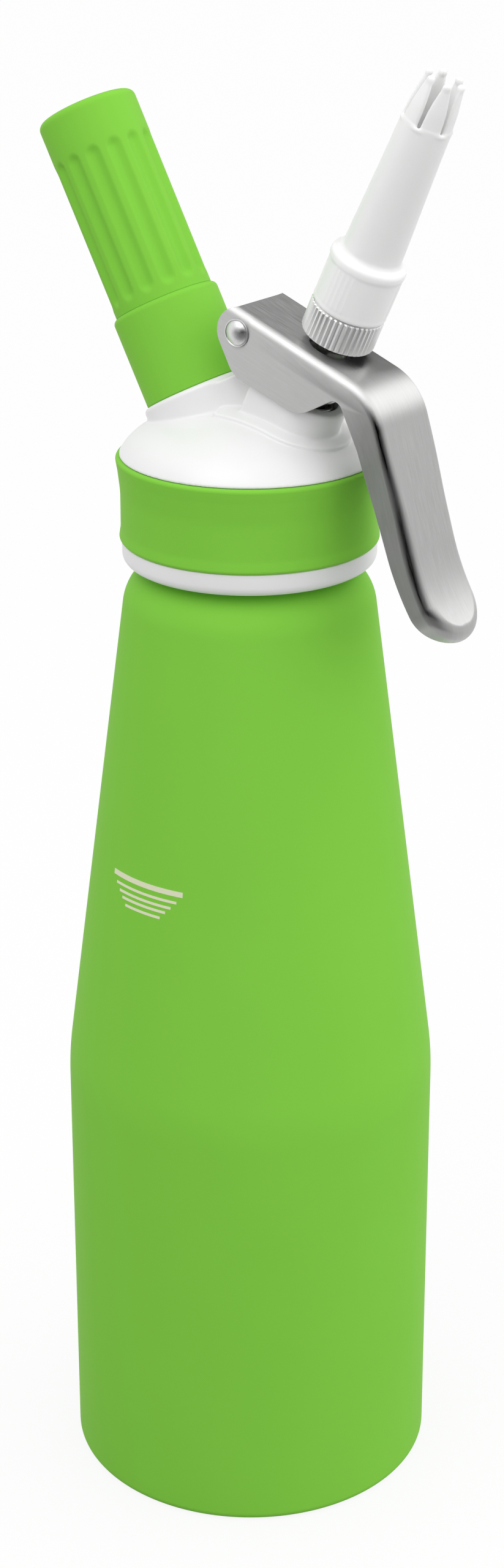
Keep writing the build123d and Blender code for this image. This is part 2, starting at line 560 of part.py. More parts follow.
def make_valve_guide():
    """Bush that guides the stem and carries the foot of the spring."""
    top = BLOCK_TOP - SPRING_POCKET_DEPTH
    return NOZZLE_FRAME * tube(SPRING_POCKET_RADIUS, STEM_RADIUS + RUNNING_GAP, top - GUIDE_LENGTH, top)


def make_valve_spring():
    """Coil spring between the guide and the flange of the stem."""
    low = BLOCK_TOP - SPRING_POCKET_DEPTH + SPRING_WIRE + SPRING_GAP
    high = FLANGE_TOP - FLANGE_THICKNESS - SPRING_WIRE - SPRING_GAP
    path = Helix((high - low) / SPRING_TURNS, high - low, SPRING_RADIUS)
    section = Plane(origin=path @ 0, z_dir=path % 0) * Circle(SPRING_WIRE)
    return NOZZLE_FRAME * Pos(0, 0, low) * sweep(section, path)


def make_nozzle_adaptor():
    """Knurled ring screwed on the stem, with the threaded spigot that the tip screws on."""
    crest = ADAPTOR_RADIUS
    root = crest - KNURL_DEPTH
    half = 180 / KNURL_COUNT
    teeth = []
    for step in range(KNURL_COUNT):
        middle = 360 * step / KNURL_COUNT
        for share, radius in ((-0.7, root), (-0.3, crest), (0.3, crest), (0.7, root)):
            angle = radians(middle + share * half)
            teeth.append((radius * cos(angle), radius * sin(angle)))
    knurl = Pos(0, 0, ADAPTOR_BOTTOM) * extrude(outline(teeth), ADAPTOR_TOP - ADAPTOR_BOTTOM)
    edge = crest - ADAPTOR_CHAMFER
    envelope = turned(
        [(0, ADAPTOR_BOTTOM), (edge, ADAPTOR_BOTTOM), (crest, ADAPTOR_BOTTOM + ADAPTOR_CHAMFER),
         (crest, ADAPTOR_TOP - ADAPTOR_CHAMFER), (edge, ADAPTOR_TOP), (0, ADAPTOR_TOP)]
    )
    spigot = rod(SPIGOT_RADIUS, ADAPTOR_TOP, SPIGOT_TOP)
    stem_socket = rod(STEM_RADIUS, ADAPTOR_BOTTOM - OVERCUT, STEM_TOP)
    bores = stem_socket + rod(SPIGOT_BORE, STEM_TOP, SPIGOT_TOP + OVERCUT)
    return NOZZLE_FRAME * ((knurl & envelope) + spigot - bores)


def tip_outline():
    """Half outline of the tip's wall, from the skirt over the spigot to the end of a finger."""
    bore = SPIGOT_RADIUS + RUNNING_GAP
    bead_bottom = TIP_SKIRT_TOP - TIP_BEAD_HEIGHT
    shoulder = TIP_SKIRT_TOP + TIP_SHOULDER_RISE
    roof = SPIGOT_TOP + TIP_ROOF_GAP
    neck = (TIP_NECK_RADIUS, TIP_NOTCH_STATION)
    end = (TIP_END_RADIUS, TIP_END_STATION)
    waist = (TIP_NECK_RADIUS - TIP_FINGER_WAIST, (TIP_NOTCH_STATION + TIP_END_STATION) / 2)
    outer = Polyline(
        (bore, TIP_BOTTOM), (TIP_SKIRT_RADIUS, TIP_BOTTOM), (TIP_SKIRT_RADIUS, bead_bottom),
        (TIP_BEAD_RADIUS, bead_bottom + TIP_BEAD_SLOPE), (TIP_BEAD_RADIUS, TIP_SKIRT_TOP),
        (TIP_CONE_RADIUS, shoulder), neck,
    )
    inner = Polyline(
        (neck[0] - TIP_WALL, neck[1]), (TIP_CONE_RADIUS - TIP_WALL, shoulder), (TIP_THROAT_RADIUS, roof),
        (bore, roof - TIP_BEAD_SLOPE), (bore, TIP_BOTTOM),
    )
    fingers = [
        ThreePointArc(neck, waist, end),
        Line(end, (end[0] - TIP_WALL, end[1])),
        ThreePointArc(
            (end[0] - TIP_WALL, end[1]), (waist[0] - TIP_WALL, waist[1]), (neck[0] - TIP_WALL, neck[1])
        ),
    ]
    return make_face([*outer.edges(), *fingers, *inner.edges()])


def make_decorator_tip():
    """Tulip tip: ribbed skirt over the spigot, a long cone and six tapering fingers."""
    tip = revolve(Plane.XZ * tip_outline(), Axis.Z)
    rib = Pos(TIP_SKIRT_RADIUS, 0, 0) * rod(
        TIP_RIB_RADIUS, TIP_BOTTOM + TIP_BEAD_SLOPE, TIP_SKIRT_TOP - TIP_BEAD_HEIGHT
    )
    for group in around(TIP_RIB_GROUPS, TIP_RIB_PHASE):
        for place in range(TIP_RIBS):
            tip += group * Rot(0, 0, (place - (TIP_RIBS - 1) / 2) * TIP_RIB_PITCH) * rib
    notch = outline(
        [(-TIP_NOTCH_WIDTH / 2, TIP_NOTCH_STATION), (TIP_NOTCH_WIDTH / 2, TIP_NOTCH_STATION),
         (TIP_NOTCH_MOUTH / 2, TIP_END_STATION + OVERCUT), (-TIP_NOTCH_MOUTH / 2, TIP_END_STATION + OVERCUT)],
        {0: TIP_NOTCH_ROUND, 1: TIP_NOTCH_ROUND},
    )
    cutter = extrude(Plane.XZ * notch, 2 * TIP_NECK_RADIUS)
    for turn in around(TIP_FINGERS, TIP_NOTCH_PHASE):
        tip -= turn * cutter
    return NOZZLE_FRAME * tip


# ---- gas side -------------------------------------------------------------------------------------
def make_charger_stub():
    """Threaded piercing unit screwed into the head, with the cup that takes the charger's neck."""
    body = rod(STUB_ROOT_RADIUS, -STUB_ROOT_DEPTH, 0) + rod(STUB_RADIUS, 0, STUB_TOP)
    cup = rod(STUB_CUP_RADIUS, STUB_CUP_FLOOR, STUB_TOP + OVERCUT)
    return CHARGER_FRAME * (body - cup - rod(GAS_BORE, -STUB_ROOT_DEPTH - OVERCUT, STUB_CUP_FLOOR))


def make_piercing_pin():
    """Hollow needle on a disc at the floor of the cup."""
    rim = STUB_CUP_RADIUS - RUNNING_GAP
    top = STUB_CUP_FLOOR + PIN_BASE_THICKNESS
    pin = turned(
        [(NEEDLE_BORE, STUB_CUP_FLOOR), (rim, STUB_CUP_FLOOR), (rim, top), (NEEDLE_RADIUS, top),
         (NEEDLE_RADIUS, NEEDLE_TIP - NEEDLE_POINT), (NEEDLE_BORE, NEEDLE_TIP)]
    )
    return CHARGER_FRAME * pin


def make_charger_seal():
    """Rubber ring round the needle that the charger's neck presses on."""
    floor = STUB_CUP_FLOOR + PIN_BASE_THICKNESS
    inner = NEEDLE_RADIUS + CHARGER_SEAL_GAP
    return CHARGER_FRAME * tube(STUB_CUP_RADIUS - RUNNING_GAP, inner, floor, floor + CHARGER_SEAL_THICKNESS)


def make_check_valve():
    """Rubber disc below the stub that lets gas in and holds it there."""
    low = -STUB_ROOT_DEPTH - CHECK_VALVE_THICKNESS
    return CHARGER_FRAME * tube(CHECK_VALVE_RADIUS, GAS_BORE / 2, low, -STUB_ROOT_DEPTH)


def make_charger():
    """Steel gas cartridge, pierced at its neck."""
    start = CHARGER_START
    end = start + CHARGER_LENGTH
    neck_end = start + CHARGER_NECK_LENGTH
    body_start = neck_end + CHARGER_SHOULDER
    outer = turned(
        [(0, start), (CHARGER_NECK_RADIUS, start), (CHARGER_NECK_RADIUS, neck_end),
         (CHARGER_RADIUS, body_start), (CHARGER_RADIUS, end), (0, end)],
        {1: CHARGER_LIP_ROUND, 2: CHARGER_NECK_ROUND, 3: CHARGER_BODY_ROUND, 4: CHARGER_END_ROUND},
    )
    inside = CHARGER_RADIUS - CHARGER_WALL
    throat = CHARGER_NECK_RADIUS - CHARGER_WALL
    floor = end - CHARGER_WALL
    hollow = turned(
        [(0, neck_end - CHARGER_WALL), (throat, neck_end - CHARGER_WALL), (throat, neck_end),
         (inside, body_start), (inside, floor), (0, floor)],
        {3: CHARGER_BODY_ROUND - CHARGER_WALL, 4: CHARGER_END_ROUND - CHARGER_WALL},
    )
    pierced = rod(NEEDLE_RADIUS + PIERCED_GAP, start - OVERCUT, neck_end)
    return CHARGER_FRAME * (outer - hollow - pierced)


def holder_length():
    """Station of the holder's inner end, just past the charger."""
    return CHARGER_START + CHARGER_LENGTH + SEAT_GAP


def make_holder_tube():
    """Aluminium tube of the charger holder, threaded at its mouth and closed at its end."""
    floor = holder_length()
    bore = CHARGER_RADIUS + CHARGER_GAP
    thread_bore = STUB_RADIUS + RUNNING_GAP
    thread_end = STUB_TOP + THREAD_RELIEF
    tube_solid = turned(
        [(thread_bore, HOLDER_START), (TUBE_SKIRT_RADIUS, HOLDER_START), (TUBE_SKIRT_RADIUS, SKIRT_TOP),
         (TUBE_RADIUS, SKIRT_TOP), (TUBE_RADIUS, floor + TUBE_END), (0, floor + TUBE_END), (0, floor),
         (bore, floor), (bore, thread_end + THREAD_RUN_OUT), (thread_bore, thread_end)]
    )
    return CHARGER_FRAME * tube_solid


def make_holder_skirt():
    """Plain wide ring round the mouth of the holder."""
    skirt = turned(
        [(TUBE_SKIRT_RADIUS, HOLDER_START), (SKIRT_RADIUS, HOLDER_START), (SKIRT_RADIUS, SKIRT_TOP),
         (TUBE_SKIRT_RADIUS, SKIRT_TOP)],
        {2: SKIRT_ROUND},
    )
    return CHARGER_FRAME * skirt


def make_holder_grip():
    """Fluted rubber grip with a closed end, pulled over the holder's tube."""
    floor = holder_length() + TUBE_END
    end = floor + GRIP_END
    grip = turned(
        [(TUBE_RADIUS, SKIRT_TOP), (GRIP_RADIUS, SKIRT_TOP), (GRIP_RADIUS, end), (0, end), (0, floor),
         (TUBE_RADIUS, floor)],
        {2: GRIP_ROUND},
    )
    first, last = SKIRT_TOP + FLUTE_MARGIN, end - FLUTE_END_MARGIN
    cutter = rod(FLUTE_CUTTER, first, last)
    cutter += Pos(0, 0, first) * Sphere(FLUTE_CUTTER)
    cutter += Pos(0, 0, last) * Sphere(FLUTE_CUTTER)
    reach = GRIP_RADIUS + FLUTE_CUTTER - FLUTE_DEPTH
    for turn in around(FLUTE_COUNT, FLUTE_PHASE):
        grip -= turn * Pos(reach, 0, 0) * cutter
    return CHARGER_FRAME * grip


# ---- all pieces -----------------------------------------------------------------------------------
MAKERS = {
    "bottle": make_bottle,
    "head_shell": make_head_shell,
    "head_collar": make_head_collar,
    "head_gasket": make_head_gasket,
    "lever": make_lever,
    "lever_pin": make_lever_pin,
    "valve_stem": make_valve_stem,
    "valve_seal": make_valve_seal,
    "seal_nut": make_seal_nut,
    "stem_o_ring": make_stem_o_ring,
    "valve_guide": make_valve_guide,
    "valve_spring": make_valve_spring,
    "nozzle_adaptor": make_nozzle_adaptor,
    "decorator_tip": make_decorator_tip,
    "charger_stub": make_charger_stub,
    "piercing_pin": make_piercing_pin,
    "charger_seal": make_charger_seal,
    "check_valve": make_check_valve,
    "charger": make_charger,
    "holder_tube": make_holder_tube,
    "holder_skirt": make_holder_skirt,
    "holder_grip": make_holder_grip,
}


def main():
    """Build every piece and write one STEP file for each."""
    os.makedirs("parts", exist_ok=True)
    for name, maker in MAKERS.items():
        export_step(maker(), f"parts/{name}.step")


main()
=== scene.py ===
"""Whipped cream dispenser: detailed pieces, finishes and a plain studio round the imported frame.

Sizes are in millimetres and angles in degrees. Meshes end in metres, in the frame's own axes: the origin
is the centre of the bottle's base, +Z runs up the bottle and +X towards the nozzle.
"""

from collections.abc import Callable, Sequence
from dataclasses import dataclass
from enum import Enum
import logging
from math import acos, atan2, cos, degrees, hypot, pi, radians, sin, sqrt, tan

import bmesh
import bpy
from mathutils import Matrix, Vector
import numpy as np
import openvdb


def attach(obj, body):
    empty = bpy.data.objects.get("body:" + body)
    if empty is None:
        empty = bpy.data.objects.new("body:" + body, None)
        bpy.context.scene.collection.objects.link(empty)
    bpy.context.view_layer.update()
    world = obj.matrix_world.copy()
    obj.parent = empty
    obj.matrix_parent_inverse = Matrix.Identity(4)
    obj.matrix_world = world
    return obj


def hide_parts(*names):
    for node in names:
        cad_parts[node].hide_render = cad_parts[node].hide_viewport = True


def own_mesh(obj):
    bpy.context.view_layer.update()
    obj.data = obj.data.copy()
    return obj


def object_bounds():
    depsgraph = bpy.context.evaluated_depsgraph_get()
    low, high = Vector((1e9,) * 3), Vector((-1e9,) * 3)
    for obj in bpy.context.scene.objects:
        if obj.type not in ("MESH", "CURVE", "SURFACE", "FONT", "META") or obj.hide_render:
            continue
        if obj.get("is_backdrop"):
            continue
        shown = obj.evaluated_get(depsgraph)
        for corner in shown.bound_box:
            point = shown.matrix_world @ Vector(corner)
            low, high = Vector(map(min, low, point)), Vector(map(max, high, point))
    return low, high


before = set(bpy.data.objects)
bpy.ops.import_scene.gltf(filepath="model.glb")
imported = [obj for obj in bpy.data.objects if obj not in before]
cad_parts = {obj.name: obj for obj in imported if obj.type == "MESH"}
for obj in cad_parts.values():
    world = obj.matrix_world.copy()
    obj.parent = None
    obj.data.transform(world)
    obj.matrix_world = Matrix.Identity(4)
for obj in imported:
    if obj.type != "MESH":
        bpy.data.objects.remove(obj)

LOG = logging.getLogger("dispenser")
MM = 0.001
POLE, SAME, TINY, FAR = 1e-6, 1e-4, 1e-12, 1e9
ROLL_SAVING = 2 - pi / 2

Point = tuple[float, float]
Outline = list[Point]
Warp = Callable[[float, float, np.ndarray], np.ndarray]
Triple = tuple[float, float, float]


# ---- places and outlines ----------------------------------------------------------------------------
@dataclass(frozen=True)
class Axis:
    """Axis in the plane of symmetry that pieces are turned about."""

    x: float = 0.0
    z: float = 0.0
    tilt: float = 0.0

    def place(self) -> Matrix:
        """Return the matrix from the axis' own frame to the row frame."""
        return Matrix.Translation((self.x, 0, self.z)) @ Matrix.Rotation(radians(self.tilt), 4, "Y")

    def way(self) -> Vector:
        """Return the unit vector along the axis."""
        return Vector((sin(radians(self.tilt)), 0, cos(radians(self.tilt))))

    def local(self, x: np.ndarray, y: np.ndarray, z: np.ndarray) -> tuple[np.ndarray, ...]:
        """Turn row coordinates into coordinates of the axis' own frame.

        Args:
            x, y, z: row coordinates.

        Returns:
            The three coordinates in the axis' own frame.
        """
        c, s = cos(radians(self.tilt)), sin(radians(self.tilt))
        dx, dz = x - self.x, z - self.z
        return c * dx - s * dz, y, s * dx + c * dz


UPRIGHT = Axis()
NOZZLE = Axis(24.5, 315.0, 24.4)
CHARGER = Axis(-15.7, 300.0, -28.2)
TIP = Axis(24.39, 315.05, 24.95)
PIVOT = Axis(4.4, 318.8)
NECK_LEAD, NECK_STARTS = 6.0, 2
GAS_LEAD = 3.5


def rounded(points: Sequence[Point], rounds: dict[int, float], steps: int = 6) -> Outline:
    """Round chosen corners of a closed outline.

    Args:
        points: corners in order.
        rounds: radius for each corner number that is rounded.
        steps: pieces of each rounding.

    Returns:
        The new outline.
    """
    result: Outline = []
    for index, point in enumerate(points):
        if index not in rounds:
            result.append(tuple(point))
            continue
        corner = np.array(point, float)
        before = np.array(points[index - 1], float) - corner
        after = np.array(points[(index + 1) % len(points)], float) - corner
        before /= np.linalg.norm(before)
        after /= np.linalg.norm(after)
        half = acos(float(np.clip(before @ after, -1, 1))) / 2
        bisector = (before + after) / np.linalg.norm(before + after)
        centre = corner + bisector * rounds[index] / sin(half)
        reach = rounds[index] / tan(half)
        first = atan2(*(corner + before * reach - centre)[::-1])
        last = atan2(*(corner + after * reach - centre)[::-1])
        sweep = (last - first + pi) % (2 * pi) - pi
        for step in range(steps + 1):
            angle = first + sweep * step / steps
            result.append((centre[0] + rounds[index] * cos(angle), centre[1] + rounds[index] * sin(angle)))
    return result


def arc(centre: Point, radius: float, start: float, end: float, steps: int = 12) -> Outline:
    """Return points of a circular arc between two angles in degrees, both ends included."""
    turns = np.radians(np.linspace(start, end, steps + 1))
    return [(centre[0] + radius * cos(a), centre[1] + radius * sin(a)) for a in turns]


def run(radius: float, low: float, high: float, step: float) -> Outline:
    """Return evenly spaced points of a straight wall, both ends included."""
    count = max(1, round(abs(high - low) / step))
    return [(radius, low + (high - low) * k / count) for k in range(count + 1)]


# ---- meshes -----------------------------------------------------------------------------------------
def linked(name: str, mesh: bpy.types.Mesh) -> bpy.types.Object:
    """Link a mesh to the scene.

    Args:
        name: name of the piece.
        mesh: its mesh.

    Returns:
        The new object.
    """
    piece = bpy.data.objects.new(name, mesh)
    bpy.context.scene.collection.objects.link(piece)
    return piece


def mesh_object(name: str, vertices: Sequence, faces: Sequence, outward: bool = True) -> bpy.types.Object:
    """Make a mesh object and link it to the scene.

    Args:
        name: name of the piece.
        vertices: points in millimetres.
        faces: vertex numbers of each face.
        outward: whether to turn all faces of a closed shell outwards.

    Returns:
        The new object.
    """
    mesh = bpy.data.meshes.new(name)
    mesh.from_pydata([tuple(v) for v in vertices], [], [tuple(f) for f in faces])
    if outward:
        work = bmesh.new()
        work.from_mesh(mesh)
        bmesh.ops.recalc_face_normals(work, faces=work.faces[:])
        work.to_mesh(mesh)
        work.free()
    return linked(name, mesh)


def turned(name: str, outline: Outline, segments: int = 192, warp: Warp | None = None) -> bpy.types.Object:
    """Turn a closed outline about the local Z axis.

    Args:
        name: name of the piece.
        outline: (radius, height) points; points on the axis become poles.
        segments: pieces round the axis.
        warp: radii of one ring from its radius, height and angles.

    Returns:
        The closed piece in its local frame.
    """
    angles = np.linspace(0, 2 * pi, segments, endpoint=False)
    vertices: list = []
    rings: list[list[int]] = []
    for radius, height in outline:
        first = len(vertices)
        if radius < POLE:
            vertices.append((0, 0, height))
            rings.append([first])
            continue
        radii = warp(radius, height, angles) if warp else np.full(segments, radius)
        vertices += zip(radii * np.cos(angles), radii * np.sin(angles), np.full(segments, height))
        rings.append(list(range(first, first + segments)))
    faces = []
    for ring, after in zip(rings, rings[1:] + rings[:1]):
        if len(ring) == 1 and len(after) == 1:
            continue
        for k in range(segments):
            n = (k + 1) % segments
            corners = [ring[k % len(ring)], ring[n % len(ring)], after[n % len(after)], after[k % len(after)]]
            faces.append(list(dict.fromkeys(corners)))
    return mesh_object(name, vertices, faces)


def settle(piece: bpy.types.Object) -> None:
    """Turn the piece's modifiers into a plain mesh and remove them.

    Args:
        piece: object with modifiers.
    """
    depsgraph = bpy.context.evaluated_depsgraph_get()
    depsgraph.update()
    old = piece.data
    mesh = bpy.data.meshes.new_from_object(piece.evaluated_get(depsgraph), depsgraph=depsgraph)
    piece.modifiers.clear()
    piece.data = mesh
    mesh.name = piece.name
    bpy.data.meshes.remove(old)


class Sheet:
    """Open sheet in the making, whose vertices carry a UV point for the grain."""

    UPRIGHT_SIDE = 0.1

    def __init__(self) -> None:
        """Start an empty sheet."""
        self.work = bmesh.new()
        self.layer = self.work.loops.layers.uv.new("UVMap")
        self.spots: dict[bmesh.types.BMVert, Point] = {}

    def vertex(self, place: Sequence[float], grain: Point) -> bmesh.types.BMVert:
        """Add a vertex.

        Args:
            place: its point in millimetres.
            grain: its distances along and across the grain.

        Returns:
            The vertex.
        """
        made = self.work.verts.new(place)
        self.spots[made] = grain
        return made

    def band(self, row: Sequence, after: Sequence) -> None:
        """Join two rows of vertices with faces."""
        for k in range(len(row) - 1):
            self.work.faces.new((row[k], row[k + 1], after[k + 1], after[k]))

    def piece(self, name: str) -> bpy.types.Object:
        """Turn the faces up and outwards and make an object of the sheet.

        Args:
            name: name of the piece.

        Returns:
            The new object.
        """
        faces = self.work.faces
        bmesh.ops.recalc_face_normals(self.work, faces=faces[:])
        if sum(f.normal.z * f.calc_area() for f in faces if abs(f.normal.y) < self.UPRIGHT_SIDE) < 0:
            bmesh.ops.reverse_faces(self.work, faces=faces[:])
        for face in faces:
            for loop in face.loops:
                loop[self.layer].uv = self.spots[loop.vert]
        mesh = bpy.data.meshes.new(name)
        self.work.to_mesh(mesh)
        self.work.free()
        return linked(name, mesh)


@dataclass(frozen=True)
class Thread:
    """Screw thread, as a change of the radius of a turned wall."""

    crest: float
    root: float
    low: float
    high: float
    lead: float
    starts: int = 1
    fade: float = 1.2
    steepness: float = 2.2
    root_share: float = 0.7

    def __call__(self, radius: float, height: float, angles: np.ndarray) -> np.ndarray:
        """Return the radii of one ring of the wall.

        Args:
            radius: plain radius of the ring.
            height: height of the ring.
            angles: angles of its vertices.

        Returns:
            One radius for each angle.
        """
        if not self.low <= height <= self.high or abs(radius - self.root) > SAME:
            return np.full(len(angles), radius)
        phase = (self.starts * (height / self.lead - angles / (2 * pi))) % 1
        tooth = np.clip(self.steepness * np.abs(2 * phase - 1) - self.root_share, 0, 1)
        end = min(1.0, (height - self.low) / self.fade, (self.high - height) / self.fade)
        return self.root + (self.crest - self.root) * tooth * end


# ---- distance fields for moulded shapes ---------------------------------------------------------------
def join(a: np.ndarray, b: np.ndarray, blend: float = 0.0) -> np.ndarray:
    """Join two distance fields.

    Args:
        a, b: signed distances.
        blend: about the size of the fillet between them.

    Returns:
        Distances of the union.
    """
    if blend <= 0:
        return np.minimum(a, b)
    near = np.clip(blend - np.abs(a - b), 0, None) / blend
    return np.minimum(a, b) - near * near * blend / 4


def meet(a: np.ndarray, b: np.ndarray, blend: float = 0.0) -> np.ndarray:
    """Return the overlap of two distance fields, with its edge rounded."""
    return -join(-a, -b, blend)


def cut(a: np.ndarray, b: np.ndarray, blend: float = 0.0) -> np.ndarray:
    """Return the first distance field less the second."""
    return -join(-a, b, blend)


def corner_distance(u: np.ndarray, v: np.ndarray, radius: float) -> np.ndarray:
    """Return the distance to a quarter plane u < 0, v < 0 whose corner is rounded."""
    u, v = u + radius, v + radius
    return np.hypot(np.clip(u, 0, None), np.clip(v, 0, None)) + np.minimum(np.maximum(u, v), 0) - radius


class Profile:
    """Distance to a closed flat outline, tabulated so that a whole grid can be looked up."""

    LAST = 1.001

    def __init__(self, outline: Outline, margin: float = 5.0, step: float = 0.15) -> None:
        """Tabulate the distance.

        Args:
            outline: corners in order.
            margin: reach of the table past the outline.
            step: spacing of the table.
        """
        points = np.array(outline, np.float32)
        self.step = step
        self.low = points.min(0) - margin
        size = ((points.max(0) + margin - self.low) / step).astype(int) + 2
        u, v = np.meshgrid(*(self.low[i] + step * np.arange(size[i]) for i in (0, 1)), indexing="ij")
        nearest = np.full(u.shape, FAR)
        inside = np.zeros(u.shape, bool)
        for a, b in zip(points, np.roll(points, -1, 0)):
            edge = b - a
            t = np.clip(((u - a[0]) * edge[0] + (v - a[1]) * edge[1]) / max(edge @ edge, TINY), 0, 1)
            nearest = np.minimum(nearest, np.hypot(u - a[0] - t * edge[0], v - a[1] - t * edge[1]))
            if a[1] != b[1]:
                crosses = (a[1] > v) != (b[1] > v)
                inside ^= crosses & (u < a[0] + (v - a[1]) * edge[0] / edge[1])
        self.table = np.where(inside, -nearest, nearest).astype(np.float32)

    def at(self, u: np.ndarray, v: np.ndarray) -> np.ndarray:
        """Look the distance up.

        Args:
            u, v: coordinates in the outline's plane.

        Returns:
            Distances, negative inside.
        """
        a, b = (np.clip((w - low) / self.step, 0, size - self.LAST).astype(np.float32)
                for w, low, size in zip((u, v), self.low, self.table.shape))
        i, j = a.astype(np.int32), b.astype(np.int32)
        a, b = a - i, b - j
        table = self.table
        near = table[i, j] * (1 - a) + table[i + 1, j] * a
        far = table[i, j + 1] * (1 - a) + table[i + 1, j + 1] * a
        return near * (1 - b) + far * b


class Space:
    """Regular grid of points in which a moulded shape is worked out and then meshed."""

    BAND = 4

    def __init__(self, low: Sequence[float], high: Sequence[float], cell: float) -> None:
        """Lay the grid out.

        Args:
            low, high: its corners.
            cell: spacing of its points.
        """
        self.low, self.cell = np.array(low), cell
        lines = [np.arange(a, b + cell, cell, dtype=np.float32) for a, b in zip(low, high)]
        self.x, self.y, self.z = np.meshgrid(*lines, indexing="ij")

    def mesh(self, name: str, distance: np.ndarray) -> bpy.types.Object:
        """Mesh the surface where the distance is nought.

        Args:
            name: name of the piece.
            distance: signed distances on the grid.

        Returns:
            The closed piece, in millimetres.
        """
        reach = self.BAND * self.cell
        grid = openvdb.FloatGrid(reach)
        grid.copyFromArray(np.clip(distance, -reach, reach).astype(np.float32))
        grid.transform = openvdb.createLinearTransform(voxelSize=self.cell)
        points, quads = grid.convertToQuads(isovalue=0.0)
        return mesh_object(name, points + self.low, quads, outward=False)


# ---- node trees -------------------------------------------------------------------------------------
class Graph:
    """Places and joins the nodes of one tree."""

    def __init__(self, tree: bpy.types.NodeTree) -> None:
        """Keep the tree."""
        self.tree = tree

    def node(self, kind: str, inputs: dict | None = None, **settings: object) -> bpy.types.Node:
        """Place one node.

        Args:
            kind: node type.
            inputs: sockets or values by input name or number.
            **settings: the node's own properties.

        Returns:
            The new node.
        """
        node = self.tree.nodes.new(kind)
        for key, value in settings.items():
            setattr(node, key, value)
        for key, value in (inputs or {}).items():
            value = value.socket if isinstance(value, Number) else value
            if isinstance(value, bpy.types.NodeSocket):
                self.tree.links.new(value, node.inputs[key])
            else:
                node.inputs[key].default_value = value
        return node

    def add(
        self, kind: str, inputs: dict | None = None, output: int | str = 0, **settings: object,
    ) -> bpy.types.NodeSocket:
        """Place one node and return one of its output sockets."""
        return self.node(kind, inputs, **settings).outputs[output]

    def number(
        self, kind: str, inputs: dict | None = None, output: int | str = 0, **settings: object,
    ) -> "Number":
        """Place one node and return its output as a Number."""
        return Number(self, self.add(kind, inputs, output, **settings))

    def split(self, vector: bpy.types.NodeSocket) -> list["Number"]:
        """Return the three parts of a vector."""
        return [Number(self, part) for part in self.node("ShaderNodeSeparateXYZ", {0: vector}).outputs]

    def rays(self, *kinds: str) -> list["Number"]:
        """Return 1 or 0 for each kind of ray, such as Is Camera Ray."""
        outputs = self.node("ShaderNodeLightPath").outputs
        return [Number(self, outputs[kind]) for kind in kinds]


class Number:
    """Number on a socket. Arithmetic on it places Math nodes."""

    def __init__(self, graph: Graph, socket: bpy.types.NodeSocket) -> None:
        """Keep the graph and the socket."""
        self.graph, self.socket = graph, socket

    def math(self, operation: str, *others: "Number | float", clamp: bool = False) -> "Number":
        """Place a Math node on this number and the others."""
        inputs = {0: self, **dict(enumerate(others, 1))}
        return self.graph.number("ShaderNodeMath", inputs, operation=operation, use_clamp=clamp)

    def __add__(self, other: "Number | float") -> "Number":
        """Return the sum."""
        return self.math("ADD", other)

    def __sub__(self, other: "Number | float") -> "Number":
        """Return the difference."""
        return self.math("SUBTRACT", other)

    def __mul__(self, other: "Number | float") -> "Number":
        """Return the product."""
        return self.math("MULTIPLY", other)

    def __truediv__(self, other: "Number | float") -> "Number":
        """Return the quotient."""
        return self.math("DIVIDE", other)

    __radd__, __rmul__ = __add__, __mul__


class Tree:
    """Geometry node tree with named inputs, which ends in Realize Instances and Set Material."""

    KINDS = {int: "NodeSocketInt", float: "NodeSocketFloat", str: "NodeSocketMaterial"}

    def __init__(self, name: str, sizes: dict[str, float | int]) -> None:
        """Make the tree with its inputs.

        Args:
            name: name of the tree.
            sizes: named inputs with their first values.
        """
        self.tree = bpy.data.node_groups.new(name, "GeometryNodeTree")
        face = self.tree.interface
        face.new_socket(name="Geometry", in_out="OUTPUT", socket_type="NodeSocketGeometry")
        face.new_socket(name="Geometry", in_out="INPUT", socket_type="NodeSocketGeometry")
        for label, value in sizes.items():
            socket = face.new_socket(name=label, in_out="INPUT", socket_type=self.KINDS[type(value)])
            socket.default_value = value
        face.new_socket(name="Material", in_out="INPUT", socket_type="NodeSocketMaterial")
        self.graph = Graph(self.tree)
        self.inputs = self.graph.node("NodeGroupInput").outputs

    def size(self, label: str) -> Number:
        """Return a named input as a Number."""
        return Number(self.graph, self.inputs[label])

    def close(self, geometry: bpy.types.NodeSocket) -> "Tree":
        """Realize the last geometry, give it its material and join it to the output.

        Args:
            geometry: socket of the last geometry.

        Returns:
            The tree itself.
        """
        add = self.graph.add
        solid = add("GeometryNodeRealizeInstances", {0: geometry})
        dressed = add("GeometryNodeSetMaterial", {"Geometry": solid, "Material": self.inputs["Material"]})
        self.graph.node("NodeGroupOutput", {0: dressed})
        return self

    def run(self, piece: bpy.types.Object, values: dict[str, float | int], finish: "Finish") -> None:
        """Run the tree on a piece and keep the result as its plain mesh.

        Args:
            piece: object that the tree works on.
            values: values of the named inputs.
            finish: finish that Set Material gives.
        """
        modifier = piece.modifiers.new(self.tree.name, "NODES")
        modifier.node_group = self.tree
        values = {**values, "Material": finish.material()}
        for item in self.tree.interface.items_tree:
            if item.in_out == "INPUT" and item.name in values:
                modifier[item.identifier] = values[item.name]
        settle(piece)


